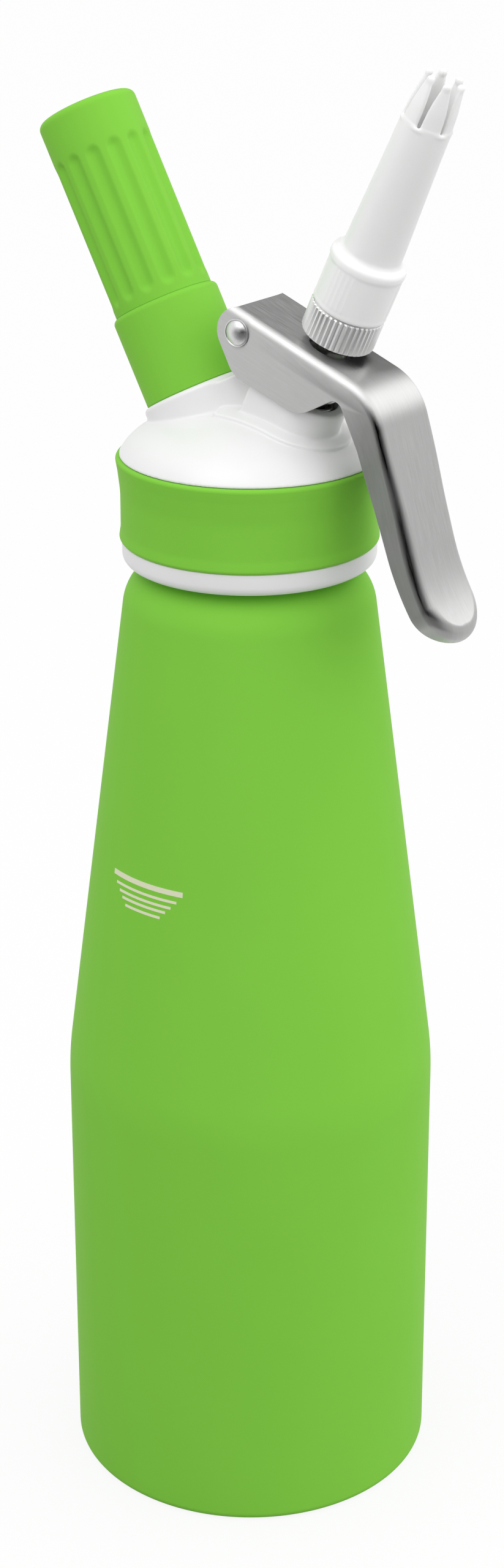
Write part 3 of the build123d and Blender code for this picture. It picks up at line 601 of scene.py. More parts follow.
def ring_tree() -> Tree:
    """Build the tree that sets copies of a piece round the local Z axis.

    Returns:
        The tree, with its inputs Count, Step and First in degrees.
    """
    tree = Tree("ring of copies", {"Count": 5, "Step": 6.4, "First": 0.0})
    graph = tree.graph
    index = graph.number("GeometryNodeInputIndex")
    turn = (index * tree.size("Step") + tree.size("First")) * radians(1)
    rotation = graph.add("ShaderNodeCombineXYZ", {2: turn})
    points = graph.add("GeometryNodePoints", {"Count": tree.inputs["Count"]})
    return tree.close(graph.add("GeometryNodeInstanceOnPoints", {
        "Points": points, "Instance": tree.inputs["Geometry"], "Rotation": rotation,
    }))


FLUTE_POWER = 1.35
COIL_STEPS, WIRE_STEPS = 40, 14


def flute_tree() -> Tree:
    """Build the tree that presses round-ended flutes into a piece turned about the local Z axis.

    Returns:
        The tree, with its inputs in millimetres and First in degrees.
    """
    tree = Tree("flutes", {"Count": 14, "Depth": 0.75, "Half width": 2.0, "Low": 28.0, "High": 61.0,
                           "First": 0.0})
    graph = tree.graph
    x, y, z = graph.split(graph.add("GeometryNodeInputPosition"))
    radius = (x * x + y * y).math("SQRT")
    share = (y.math("ARCTAN2", x) - tree.size("First") * radians(1)) * tree.size("Count") / (2 * pi)
    side = (share - share.math("ROUND")) * (2 * pi) / tree.size("Count") * radius
    past = (tree.size("Low") - z).math("MAXIMUM", z - tree.size("High")).math("MAXIMUM", 0.0)
    room = (side * side + past * past) / (tree.size("Half width") * tree.size("Half width"))
    dip = (room * -1.0 + 1.0).math("MAXIMUM", 0.0).math("POWER", FLUTE_POWER) * tree.size("Depth") * -1.0
    push = graph.add("ShaderNodeCombineXYZ", {0: x / radius * dip, 1: y / radius * dip})
    moved = graph.add("GeometryNodeSetPosition", {"Geometry": tree.inputs["Geometry"], "Offset": push})
    return tree.close(moved)


def coil_tree() -> Tree:
    """Build the tree that winds a wire round the local Z axis.

    Returns:
        The tree, with its inputs in millimetres.
    """
    tree = Tree("coil", {"Turns": 6.0, "Radius": 5.3, "Height": 12.0, "Wire": 0.55})
    graph = tree.graph
    size = tree.inputs
    line = graph.add("GeometryNodeCurveSpiral", {
        "Resolution": COIL_STEPS, "Rotations": size["Turns"], "Start Radius": size["Radius"],
        "End Radius": size["Radius"], "Height": size["Height"],
    })
    wire = graph.add("GeometryNodeCurvePrimitiveCircle", {"Resolution": WIRE_STEPS, "Radius": size["Wire"]})
    return tree.close(graph.add("GeometryNodeCurveToMesh", {
        "Curve": line, "Profile Curve": wire, "Fill Caps": True,
    }))


# ---- finishes ---------------------------------------------------------------------------------------
class Grain(Enum):
    """Kinds of fine structure."""

    MOULDED = "moulded"
    BRUSHED = "brushed"
    TURNED = "turned"


def linear(red: float, green: float, blue: float) -> Triple:
    """Turn a display colour, from 10 to 255 in each channel, into linear light."""
    return tuple(((c / 255 + 0.055) / 1.055) ** 2.4 for c in (red, green, blue))


GRIT_LOW, GRIT_HIGH = 0.3, 0.7
BROAD_DETAIL, GRIT_DETAIL = 3.0, 4.0
QUARTER_TURN = 0.25
BRUSH_SHRINKS = (0.06, 0.03)
RING_SHRINK = 0.25


@dataclass(frozen=True)
class Finish:
    """One surface finish: colour, gloss and fine structure."""

    name: str
    colour: Triple
    roughness: float
    grain: Grain = Grain.MOULDED
    metallic: float = 0.0
    mottle: float = 0.03
    mottle_size: float = 8.0
    gloss_change: float = 0.04
    relief: float = 0.02
    relief_size: float = 0.5
    specular: float = 0.5
    sheen: float = 0.0
    sheen_roughness: float = 0.35
    tint: Triple = (1.0, 1.0, 1.0)
    subsurface: float = 0.0
    subsurface_reach: float = 1.0
    anisotropy: float = 0.0
    axis: Axis = UPRIGHT

    def material(self) -> bpy.types.Material:
        """Make the finish's node material on first use.

        Returns:
            The material.
        """
        found = bpy.data.materials.get(self.name)
        if found:
            return found
        material = bpy.data.materials.new(self.name)
        material.use_nodes = True
        material.node_tree.nodes.clear()
        graph = Graph(material.node_tree)
        place, fine = self.coordinates(graph)
        broad = graph.add("ShaderNodeTexNoise", {"Vector": place, "Scale": 1 / self.mottle_size,
                                                   "Detail": BROAD_DETAIL})
        grit = graph.add("ShaderNodeTexNoise", {"Vector": fine, "Scale": 1 / self.relief_size,
                                                  "Detail": GRIT_DETAIL})
        dark, light = (tuple(c * (1 + k * self.mottle) for c in self.colour) + (1.0,) for k in (-1, 1))
        tint = graph.add("ShaderNodeMix", {0: broad, 6: dark, 7: light}, 2, data_type="RGBA")
        gloss = graph.add("ShaderNodeMapRange", {
            "Value": grit, "From Min": GRIT_LOW, "From Max": GRIT_HIGH,
            "To Min": self.roughness - self.gloss_change, "To Max": self.roughness + self.gloss_change,
        })
        bump = graph.add("ShaderNodeBump", {"Height": grit, "Strength": 1.0, "Distance": self.relief * MM})
        inputs = {
            "Base Color": tint, "Roughness": gloss, "Normal": bump, "Metallic": self.metallic,
            "Specular IOR Level": self.specular, "Sheen Weight": self.sheen,
            "Sheen Roughness": self.sheen_roughness, "Subsurface Weight": self.subsurface,
            "Subsurface Scale": self.subsurface_reach * MM, "Subsurface Radius": (1.0, 1.0, 1.0),
            "Anisotropic": self.anisotropy, "Anisotropic Rotation": QUARTER_TURN,
            "Specular Tint": (*self.tint, 1.0), "Sheen Tint": (*self.tint, 1.0),
        }
        if self.grain is Grain.BRUSHED:
            inputs["Tangent"] = graph.add("ShaderNodeTangent", direction_type="UV_MAP", uv_map="UVMap")
        shader = graph.add("ShaderNodeBsdfPrincipled", inputs)
        graph.node("ShaderNodeOutputMaterial", {"Surface": shader})
        return material

    def coordinates(self, graph: Graph) -> tuple[bpy.types.NodeSocket, bpy.types.NodeSocket]:
        """Place the texture coordinates of the finish, in millimetres.

        Args:
            graph: graph of the material.

        Returns:
            Sockets for the broad and the fine pattern.
        """
        points = graph.node("ShaderNodeTexCoord").outputs
        if self.grain is Grain.BRUSHED:
            return tuple(graph.add("ShaderNodeMapping", {"Vector": points["UV"], "Scale": (shrink, 1.0, 1.0)})
                         for shrink in BRUSH_SHRINKS)
        turn = (0, -radians(self.axis.tilt), 0)
        shift = graph.add("ShaderNodeVectorMath", {
            0: points["Object"], 1: (self.axis.x * MM, 0, self.axis.z * MM),
        }, operation="SUBTRACT")
        own = graph.add("ShaderNodeMapping", {
            "Vector": shift, "Rotation": turn, "Scale": (1 / MM,) * 3,
        }, vector_type="POINT")
        if self.grain is Grain.MOULDED:
            return own, own
        x, y, z = graph.split(own)
        radius = (x * x + y * y).math("SQRT")
        rings = graph.add("ShaderNodeCombineXYZ", {0: radius, 1: z, 2: y.math("ARCTAN2", x) * RING_SHRINK})
        return rings, rings


GREEN = linear(130, 203, 71)
GREEN_GLOSS = (1.0, 1.0, 0.1)
SOFT_GREEN = Finish("satin green coat", GREEN, 0.56, mottle=0.025, mottle_size=30.0, relief=0.006,
                    relief_size=0.6, gloss_change=0.03, specular=0.06, sheen=0.05, tint=GREEN_GLOSS)
GREEN_RUBBER = Finish("matt green rubber", GREEN, 0.55, mottle=0.03, mottle_size=14.0, relief=0.012,
                      relief_size=0.4, specular=0.08, sheen=0.08, tint=GREEN_GLOSS)
WHITE_PLASTIC = Finish("moulded white plastic", (0.85, 0.85, 0.85), 0.34, mottle=0.008, relief=0.01,
                       relief_size=1.2, subsurface=0.1, subsurface_reach=0.6)
TIP_PLASTIC = Finish("waxy white plastic", (0.95, 0.95, 0.945), 0.36, mottle=0.012, relief=0.012,
                     relief_size=1.0, subsurface=0.45, subsurface_reach=2.4)
BRUSHED_STEEL = Finish("satin steel", (0.6, 0.6, 0.595), 0.38, Grain.BRUSHED, metallic=1.0, mottle=0.07,
                       mottle_size=0.6, gloss_change=0.05, relief=0.004, relief_size=0.22, anisotropy=0.9)
BRIGHT_STEEL = Finish("polished steel", (0.78, 0.78, 0.775), 0.14, metallic=1.0, mottle=0.02,
                      mottle_size=3.0, gloss_change=0.03, relief=0.004, relief_size=1.2)
TURNED_STEEL = Finish("turned steel", (0.88, 0.88, 0.875), 0.46, Grain.TURNED, metallic=1.0, mottle=0.02,
                      mottle_size=0.8, gloss_change=0.03, relief=0.001, relief_size=0.25, axis=NOZZLE)
# Painted shade: a steel made dark so that the valve stem, its guide and nut and the spring read as shaded in
# the pocket and the gap under the lever.
SHADE_DARKENED_STEEL = Finish("steel darkened as painted shade", (0.4, 0.4, 0.4), 0.34, Grain.TURNED, metallic=1.0, mottle=0.06,
                    mottle_size=0.8, gloss_change=0.05, relief=0.004, relief_size=0.3, axis=NOZZLE)
TURNED_ALUMINIUM = Finish("turned aluminium", (0.74, 0.74, 0.75), 0.28, Grain.TURNED, metallic=1.0,
                          mottle=0.05, mottle_size=0.8, relief=0.008, relief_size=0.25, axis=CHARGER)
RIVET_STEEL = Finish("peened steel", (0.74, 0.74, 0.74), 0.42, metallic=1.0, mottle=0.06, mottle_size=1.5,
                     gloss_change=0.05, relief=0.02, relief_size=0.6)
CHARGER_STEEL = Finish("drawn steel", (0.6, 0.6, 0.61), 0.3, Grain.TURNED, metallic=1.0, mottle=0.06,
                       mottle_size=4.0, relief=0.006, relief_size=0.8, axis=CHARGER)
SEAL_RUBBER = Finish("white silicone", (0.74, 0.74, 0.72), 0.55, relief=0.01, subsurface=0.2)
BLACK_RUBBER = Finish("black rubber", (0.015, 0.015, 0.016), 0.5, relief=0.015, specular=0.25)
LEVEL_INK = Finish("cream ink", linear(226, 228, 196), 0.5, mottle=0.02, mottle_size=3.0, relief=0.006)


# ---- sub-assemblies ---------------------------------------------------------------------------------
@dataclass
class Assembly:
    """What the sub-assemblies share: the body they ride on, and how a piece is seated and dressed."""

    body: str = ""

    def seat(
        self, piece: bpy.types.Object, place: Matrix, finish: Finish, slot: str,
        replaces: Sequence[str] = (), sharp: float = 40.0,
    ) -> bpy.types.Object:
        """Put a finished mesh in its place, hang it on its body and hide the CAD nodes that it stands for.

        Args:
            piece: object in millimetres, in its local frame.
            place: matrix from the local frame to the row frame.
            finish: its finish.
            slot: the record's material slot; not used.
            replaces: CAD nodes that it stands for.
            sharp: angle above which an edge stays sharp.

        Returns:
            The seated piece.
        """
        mesh = piece.data
        mesh.transform(Matrix.Scale(MM, 4) @ place)
        mesh.shade_smooth()
        mesh.set_sharp_from_angle(angle=radians(sharp))
        mesh.materials.clear()
        mesh.materials.append(finish.material())
        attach(piece, self.body)
        if replaces:
            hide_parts(*replaces)
        LOG.info("%s: %s on %s, %d faces", type(self).__name__, piece.name, self.body, len(mesh.polygons))
        return piece

    def dress(self, finish: Finish, *nodes: str) -> None:
        """Give CAD nodes that stay in view their finish.

        Args:
            finish: the finish.
            *nodes: names of the nodes.
        """
        for node in nodes:
            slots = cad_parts[node].material_slots
            for slot in slots:
                slot.material = finish.material()
            if not slots:
                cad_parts[node].data.materials.append(finish.material())
            LOG.info("%s: %s dressed as %s", type(self).__name__, node, finish.name)


@dataclass
class Bottle(Assembly):
    """Drawn bottle with its coat, its threaded neck and the bars of the filling level."""

    body: str = "bottle"
    radius: float = 49.0
    wall: float = 1.5
    base: float = 2.5
    corner: float = 2.5
    straight: float = 119.8
    cone_top: Point = (32.4, 245.5)
    cone_round: float = 90.0
    shoulder: Point = (28.6, 258.0)
    shoulder_round: float = 13.3
    shoulder_lift: float = 0.2
    shoulder_turn: float = 70.0
    steps: int = 14
    groove: Triple = (34.0, 37.0, 1.2)
    groove_rounds: Point = (0.4, 0.8)
    inner_rounds: tuple[float, ...] = (2.0, 3.0, 10.0, 60.0, 3.0)
    neck_wall: float = 0.75
    neck_root: float = 26.75
    neck_crest: float = 27.45
    neck_top: float = 275.0
    bars: tuple[tuple[float, float, float, float], ...] = (
        (-111.0, -77.5, 180.9, 182.3), (-108.8, -79.8, 178.9, 179.6), (-106.6, -82.0, 177.2, 177.9),
        (-104.7, -84.1, 175.7, 176.4), (-102.7, -86.2, 174.0, 174.7),
    )
    bar_lift: float = 0.03
    bar_thickness: float = 0.05
    bar_columns: int = 40

    def outer(self) -> Outline:
        """Work out the outer half outline.

        Returns:
            Its points from the base to the ledge round the neck.
        """
        lower = rounded(
            [(0, 0), (self.radius, 0), (self.radius, self.straight), self.cone_top, (0, self.cone_top[1])],
            {1: self.corner, 2: self.cone_round}, self.steps,
        )[1:-2]
        centre = (self.cone_top[0] - self.shoulder_round, self.cone_top[1] + self.shoulder_lift)
        turn = arc(centre, self.shoulder_round, 0, self.shoulder_turn, self.steps)
        return lower + turn[1:-1] + [self.shoulder]

    def build(self) -> None:
        """Build and dress the bottle and its level bars."""
        self.build_shell()
        self.build_bars()

    def build_shell(self) -> None:
        """Build the coated shell with its inner wall and its thread."""
        top = self.neck_top
        thread = Thread(self.neck_crest, self.neck_root, self.shoulder[1] + 2, top - 2, NECK_LEAD, NECK_STARTS)
        near, far, deep = self.groove
        lip, root = self.groove_rounds
        under = [(0, 0), (near, 0), (near, deep), (far, deep), (far, 0), (self.radius - 1, 0), (0, 1)]
        under = rounded(under, {1: lip, 2: root, 3: root, 4: lip}, 4)[:-2]
        outside = [point for point in self.outer() if point[0] > far + 0.5 or point[1] > 1]
        neck = [(self.neck_root, self.shoulder[1])] + run(self.neck_root, thread.low, thread.high, 0.25)
        inner = self.neck_root - self.neck_wall
        rim = [(self.neck_root, top - 0.5), (self.neck_root - 0.2, top), (inner + 0.2, top),
               (inner, top - 0.3)]
        wall = self.wall
        inside = [
            (inner, self.shoulder[1]), (self.shoulder[0] - wall, self.shoulder[1] - 2),
            (self.cone_top[0] - wall, self.cone_top[1]), (self.radius - wall, self.straight),
            (self.radius - wall, self.base), (0, self.base),
        ]
        inside = rounded(inside, dict(enumerate(self.inner_rounds)), 8)
        piece = turned("bottle_shell", under + outside + neck + rim + inside, 256, thread)
        self.seat(piece, UPRIGHT.place(), SOFT_GREEN, "green_coat", ["bottle"], 30.0)

    def build_bars(self) -> None:
        """Build the printed bars that show how far the bottle may be filled."""
        slope = (self.cone_top[0] - self.radius) / (self.cone_top[1] - self.straight)
        count = self.bar_columns
        vertices, faces = [], []
        for first, last, low, high in self.bars:
            start = len(vertices)
            turns = np.radians(np.linspace(first, last, count))
            for height, lift in ((low, 0), (high, 0), (high, 1), (low, 1)):
                radius = self.radius + slope * (height - self.straight) + self.bar_lift
                radius += lift * self.bar_thickness
                vertices += [(radius * cos(a), radius * sin(a), height) for a in turns]
            rows = [start + row * count for row in range(4)]
            faces += [[row + k, row + k + 1, after + k + 1, after + k]
                      for row, after in zip(rows, rows[1:] + rows[:1]) for k in range(count - 1)]
            faces += [[row + end for row in rows] for end in (0, count - 1)]
        piece = mesh_object("level_mark", vertices, faces)
        self.seat(piece, UPRIGHT.place(), LEVEL_INK, "seal_rubber")


@dataclass
class Head(Assembly):
    """Moulded head: skirt with its lip and thread, dome, valve block, charger boss and the lever's ear."""

    body: str = "head"
    bore: float = 27.55
    thread_root: float = 28.3
    groove: float = 30.6
    lip: float = 32.2
    lip_bottom: float = 258.3
    lip_top: float = 264.2
    lip_rounds: Point = (2.6, 0.35)
    collar_low: tuple[Point, ...] = ((32.95, 0.0), (32.45, 3.2), (32.42, 12.5))
    collar_high: tuple[Point, ...] = ((33.05, 3.6), (33.65, 0.0))
    collar_rounds: tuple[float, ...] = (0.9, 8.0, 26.0, 12.0, 0.9)
    collar_top: float = 285.8
    ceiling: float = 277.1
    knee: Point = (27.0, 291.8)
    crown: float = 298.9
    rim_round: float = 14.7
    rim_start: float = 29.5
    foot_lift: float = 0.05
    past_axis: float = -12.0
    block_top: float = -12.7
    block_radius: float = 9.1
    block_back: float = 12.5
    block_corner: float = 0.9
    block_spread: float = 0.04
    block_height: float = 16.0
    block_edge: float = 0.8
    block_blend: float = 0.7
    pad_radius: float = 12.9
    pad_rise: float = 1.05
    pad_back: float = 17.0
    pad_edge: float = 0.5
    pad_blend: float = 0.2
    boss_radius: float = 15.0
    boss_round: float = 1.2
    boss_depth: float = 16.0
    web_start: float = 11.96
    web_end: float = 22.0
    web_half: float = 9.05
    web_inner: float = 4.0
    web_lean: float = 25.0
    web_edge: float = 0.6
    web_blend: float = 1.0
    ear_radius: float = 3.7
    ear_half: float = 6.0
    ear_foot: Point = (-3.6, 9.6)
    ear_edge: float = 1.0
    ear_blend: float = 0.6
    washer: float = 3.6
    washer_half: float = 9.4
    washer_blend: float = 0.5
    valve_seat: Triple = (8.0, -42.95, -30.0)
    bores: tuple[Triple, ...] = (
        (6.6, -24.0, 12.0), (5.85, -25.8, -23.9), (4.4, -43.0, -25.0), (5.4, -44.0, -37.95),
        (8.3, -51.0, -42.95),
    )
    gas_bores: tuple[Triple, ...] = (
        (8.0, -10.0, 1.0), (3.5, -11.5, -9.9), (1.2, -31.0, -10.0),
    )
    pin_radius: float = 2.0
    rivet_face: float = 10.85
    rivet_rise: float = 1.5
    rivet_dome: float = 4.55
    rivet_turn: float = 49.5
    rivet_rim: tuple[Point, ...] = ((3.05, 0.28), (3.2, 0.42), (3.42, 0.36), (3.5, 0.15), (3.5, 0.0))
    grid_low: Triple = (-34.0, -34.0, 275.5)
    grid_high: Triple = (34.0, 34.0, 324.0)
    cell: float = 0.33
    kept_share: float = 0.6

    def build(self) -> None:
        """Build and dress the head's pieces."""
        self.build_core()
        self.build_skirt()
        self.build_collar()
        self.build_rivet()
        self.dress(SEAL_RUBBER, "head_gasket")
        self.dress(BLACK_RUBBER, "stem_o_ring")
        # Painted shade: the guide gets the dark steel that stands in for shade inside the head.
        self.dress(SHADE_DARKENED_STEEL, "valve_guide")

    def dome_outline(self, rise: float = 0.0) -> Outline:
        """Work out the dome's half outline, continued past the axis.

        Args:
            rise: height that it is raised by.

        Returns:
            The closed outline.
        """
        across, up = self.knee
        rise_of_cap = self.crown - up
        sphere = (across**2 + rise_of_cap**2) / (2 * rise_of_cap)
        slope = atan2(across, sphere - rise_of_cap)
        centre = (across - self.rim_round * sin(slope), up - self.rim_round * cos(slope))
        rim = arc(centre, self.rim_round, self.rim_start, 90 - degrees(slope), 14)
        cap = arc((0, self.crown - sphere), sphere, 90 - degrees(slope), 90, 30)[1:]
        inner = self.groove - 0.15
        past, foot = self.past_axis, self.collar_top + self.foot_lift
        lower = [(past, self.ceiling), (inner, self.ceiling), (inner, foot), (rim[0][0] - 0.1, foot)]
        return [(r, z + rise) for r, z in lower + rim + cap + [(past, self.crown)]]

    def core_distance(self, space: Space) -> np.ndarray:
        """Work out the moulded core on a grid.

        Args:
            space: grid in row coordinates.

        Returns:
            Signed distances.
        """
        x, y, z = space.x, space.y, space.z
        across = np.hypot(x, y)
        dome = Profile(self.dome_outline()).at(across, z)
        raised = Profile(self.dome_outline(self.pad_rise)).at(across, z)
        nozzle, charger = NOZZLE.local(x, y, z), CHARGER.local(x, y, z)
        pivot = np.hypot(x - PIVOT.x, z - PIVOT.z)

        below = np.clip(self.block_top - nozzle[2], 0, self.block_height)
        width = self.block_radius + self.block_spread * below
        block = self.plan_distance(nozzle, width, self.block_back)
        block = meet(block, nozzle[2] - self.block_top, self.block_edge)
        pad = meet(raised, self.plan_distance(nozzle, self.pad_radius, self.pad_back), self.pad_edge)
        washers = meet(pivot - self.washer, np.abs(y) - self.washer_half)

        body = join(dome, pad, self.pad_blend)
        sides = join(self.ear_distance(space), self.boss_distance(charger), self.ear_blend)
        body = join(body, sides, self.ear_blend)
        body = join(body, block, self.block_blend)
        body = join(body, washers, self.washer_blend)
        radius, low, high = self.valve_seat
        seat = meet(np.hypot(*nozzle[:2]) - radius, low - nozzle[2])
        body = join(body, meet(seat, nozzle[2] - high))
        for bores, (u, v, along) in ((self.bores, nozzle), (self.gas_bores, charger)):
            reach = np.hypot(u, v)
            for radius, low, high in bores:
                body = cut(body, np.maximum(np.maximum(reach - radius, along - high), low - along))
        return cut(body, pivot - self.pin_radius)

    def plan_distance(
        self, nozzle: tuple[np.ndarray, ...], radius: np.ndarray | float, back: float,
    ) -> np.ndarray:
        """Return the distance to a round-fronted, straight-backed plan across the nozzle axis."""
        rear = corner_distance(-nozzle[0] - back, np.abs(nozzle[1]) - radius, self.block_corner)
        return np.where(nozzle[0] > 0, np.hypot(*nozzle[:2]) - radius, rear)

    def boss_distance(self, charger: tuple[np.ndarray, ...]) -> np.ndarray:
        """Work out the round boss under the holder, with the web from it to the block.

        Args:
            charger: coordinates in the charger's frame.

        Returns:
            Signed distances.
        """
        x, y, z = charger
        boss = corner_distance(np.hypot(x, y) - self.boss_radius, z, self.boss_round)
        boss = meet(boss, -z - self.boss_depth)
        lean = radians(self.web_lean)
        side = sin(lean) * (x - self.web_start) + cos(lean) * (np.abs(y) - self.web_half)
        web = meet(side, z + self.boss_round, self.web_edge)
        web = meet(web, np.maximum(x - self.web_end, self.web_inner - x))
        return join(boss, web, self.web_blend)

    def ear_distance(self, space: Space) -> np.ndarray:
        """Work out the ear that carries the lever's rivet.

        Args:
            space: grid in row coordinates.

        Returns:
            Signed distances.
        """
        x, z = space.x - PIVOT.x, space.z - PIVOT.z
        foot = [(along, self.collar_top - PIVOT.z) for along in self.ear_foot]
        plan = Profile([(-self.ear_radius, 0), *foot, (self.ear_radius, 0)]).at(x, z)
        plan = join(plan, np.hypot(x, z) - self.ear_radius)
        return meet(plan, np.abs(space.y) - self.ear_half, self.ear_edge)

    def build_core(self) -> None:
        """Mesh the dome with its block, pad, boss and ear."""
        space = Space(self.grid_low, self.grid_high, self.cell)
        piece = space.mesh("head_core", self.core_distance(space))
        piece.modifiers.new("thin", "DECIMATE").ratio = self.kept_share
        settle(piece)
        self.seat(piece, UPRIGHT.place(), WHITE_PLASTIC, "white_plastic", ["head_shell"], 60.0)

    def build_skirt(self) -> None:
        """Turn the skirt with its lip and its inner thread."""
        low, high = self.lip_bottom + 1.5, self.ceiling - 3
        thread = Thread(self.bore, self.thread_root, low, high, NECK_LEAD, NECK_STARTS)
        outer = [
            (self.thread_root, self.lip_bottom), (self.lip, self.lip_bottom), (self.lip, self.lip_top),
            (self.groove, self.lip_top), (self.groove, self.collar_top - 0.2),
            (self.thread_root, self.collar_top - 0.2),
        ]
        outer = rounded(outer, dict(enumerate(self.lip_rounds, 1)), 8)
        wall = run(self.thread_root, thread.high, thread.low, 0.25)
        piece = turned("head_skirt", outer + wall, 256, thread)
        self.seat(piece, UPRIGHT.place(), WHITE_PLASTIC, "white_plastic", ["head_shell"])

    def build_collar(self) -> None:
        """Turn the soft collar, flared at both edges."""
        low, high = self.lip_top + 0.02, self.collar_top
        points = [(self.groove, low), *((r, low + z) for r, z in self.collar_low),
                  *((r, high - z) for r, z in self.collar_high), (self.groove, high)]
        piece = turned("collar_band", rounded(points, dict(enumerate(self.collar_rounds, 1)), 10), 256)
        self.seat(piece, UPRIGHT.place(), GREEN_RUBBER, "green_rubber", ["head_collar"])

    def build_rivet(self) -> None:
        """Turn the rivet that the lever swings on, with a domed head in a thin rim at each end."""
        face = self.rivet_face
        top = face + self.rivet_rise
        dome = arc((0, top - self.rivet_dome), self.rivet_dome, 90, self.rivet_turn, 12)[1:]
        rim = [(r, face + z) for r, z in self.rivet_rim]
        half = [(0.0, top)] + dome + rim + [(self.pin_radius, face)]
        outline = half + [(r, -z) for r, z in reversed(half)]
        place = PIVOT.place() @ Matrix.Rotation(radians(90), 4, "X")
        self.seat(turned("pivot_rivet", outline, 72), place, RIVET_STEEL, "bright_steel", ["lever_pin"], 50.0)


@dataclass
class Lever(Assembly):
    """Pressed steel channel: plate over the valve, bent handle and rounded ears on the rivet."""

    body: str = "lever"
    half_width: float = 10.8
    grip_half: float = 10.3
    thickness: float = 1.2
    ear_radius: float = 6.1
    plate_rise: float = 5.27
    plate_slope: float = 21.4
    handle_slope: float = 17.43
    plate_length: float = 40.74
    handle_straight: float = 37.8
    handle_length: float = 61.7
    kick: float = 22.4
    bend: float = 16.0
    edge_round: float = 2.2
    end_round: float = 3.1
    tip_round: float = 10.0
    flange: float = 8.1
    flange_low: float = 6.6
    flange_end: float = 3.4
    flange_foot: float = 12.0
    flange_start: float = 15.0
    heel: Point = (-1.4, -10.6)
    belly: Point = (18.1, -17.8)
    notch: Point = (29.8, -11.6)
    stem_hole: float = 5.9
    pin_hole: float = 2.05
    edge_bevel: float = 0.22
    round_steps: int = 9
    rear_ease: float = 6.0
    ease_columns: int = 5
    pieces: tuple[int, ...] = (6, 11, 18, 3, 27)
    end_pieces: int = 18
    side_rounds: tuple[float, ...] = (1.5, 2.5, 8.0, 6.0)
    cutter_reach: float = 8.0

    def __post_init__(self) -> None:
        """Work out the directions and lengths of the path along the outer face."""
        a, b = radians(self.plate_slope), radians(self.handle_slope)
        self.plate_way, self.plate_up = np.array((cos(a), -sin(a))), np.array((sin(a), cos(a)))
        self.handle_way, self.handle_up = np.array((sin(b), -cos(b))), np.array((cos(b), sin(b)))
        self.pivot = np.array((PIVOT.x, PIVOT.z))
        self.turn = radians(90 - self.plate_slope - self.handle_slope)
        self.tangent = self.bend * tan(self.turn / 2)
        self.rear = sqrt(self.ear_radius**2 - self.plate_rise**2)
        self.bend_start = self.rear + self.plate_length - self.tangent
        self.bend_end = self.bend_start + self.bend * self.turn
        self.origin = self.pivot + self.plate_up * self.plate_rise - self.plate_way * self.rear
        self.corner = self.origin + self.plate_way * (self.rear + self.plate_length)

    def path(self, along: float) -> tuple[np.ndarray, np.ndarray, np.ndarray]:
        """Follow the outer face in the plane of symmetry.

        Args:
            along: distance from the plate's rear edge.

        Returns:
            Point, direction of travel and outward normal, all (x, z).
        """
        if along <= self.bend_start:
            return self.origin + self.plate_way * along, self.plate_way, self.plate_up
        if along >= self.bend_end:
            past = self.past(along)
            if past <= self.handle_straight:
                return self.corner + self.handle_way * past, self.handle_way, self.handle_up
            radius = (self.handle_length - self.handle_straight) / radians(self.kick)
            a = radians(self.handle_slope) + (past - self.handle_straight) / radius
            way, up = np.array((sin(a), -cos(a))), np.array((cos(a), sin(a)))
            start = self.corner + self.handle_way * self.handle_straight
            return start + (self.handle_up - up) * radius, way, up
        angle = (along - self.bend_start) / self.bend
        a = radians(self.plate_slope) + angle
        way, up = np.array((cos(a), -sin(a))), np.array((sin(a), cos(a)))
        centre = self.origin + self.plate_way * self.bend_start - self.plate_up * self.bend
        return centre + up * self.bend, way, up

    def past(self, along: float) -> float:
        """Return the distance past the corner of the path."""
        return along - self.bend_end + self.tangent

    def share(self, along: float) -> float:
        """Return how far a place lies between the flange's foot and the rounded end, from 0 to 1."""
        reach = self.handle_length - self.tip_round - self.flange_foot
        return min(1.0, max(0.0, (self.past(along) - self.flange_foot) / reach))

    def roll(self, column: Triple) -> float:
        """Return the radius of the rolled edge at a column."""
        return self.edge_round + (self.end_round - self.edge_round) * self.share(column[0])

    def depth(self, column: Triple) -> float:
        """Return how far the flange reaches below the outer face at a column."""
        side = self.flange + (self.flange_low - self.flange) * self.share(column[0])
        return side + (self.flange_end - side) * sin(column[2]) ** 2

    def half(self, along: float) -> float:
        """Return half the width at a place."""
        share = min(1.0, max(0.0, (self.past(along) - self.flange_start) / self.flange_start))
        return self.half_width + (self.grip_half - self.half_width) * share * share * (3 - 2 * share)

    def stations(self) -> tuple[list[Triple], int]:
        """Lay out the columns round one half's edge.

        Returns:
            (distance along, y, angle of the outward side) of each, and the number of the first one past the
            flange's foot.
        """
        first = self.bend_end - self.tangent + self.flange_start
        last = self.bend_end - self.tangent + self.handle_length - self.tip_round
        stops = (0.0, self.rear_ease, self.bend_start, self.bend_end, first, last)
        sides, foot = [0.0], 0
        for start, end, pieces in zip(stops, stops[1:], self.pieces):
            foot = len(sides) - 1
            sides += list(np.linspace(start, end, pieces + 1)[1:])
        columns = [(along, -self.half(along), 0.0) for along in sides]
        centre = self.half(last) - self.tip_round
        for angle in np.radians(np.linspace(0, 90, self.end_pieces + 1)[1:]):
            columns.append((last + self.tip_round * sin(angle), -centre - self.tip_round * cos(angle), angle))
        return columns, foot

    def point(self, column: Triple, inset: float, depth: float, shift: float) -> tuple:
        """Find a point of the channel.

        Args:
            column: column that it lies on.
            inset: how far it is set in from the edge.
            depth: how far it lies below the outer face.
            shift: how far it is moved along the path.

        Returns:
            The point in row coordinates.
        """
        along, y, angle = column
        spot, way, up = self.path(along - inset * sin(angle) + shift)
        spot = spot - up * depth
        return spot[0], y + inset * cos(angle), spot[1]

    def lead(self, turn: float) -> float:
        """Return how far the ear's edge lies inside the rear edge, part of the way round the rolled edge."""
        level = self.plate_rise - self.edge_round * (1 - cos(turn))
        return self.rear - sqrt(self.ear_radius**2 - level**2)

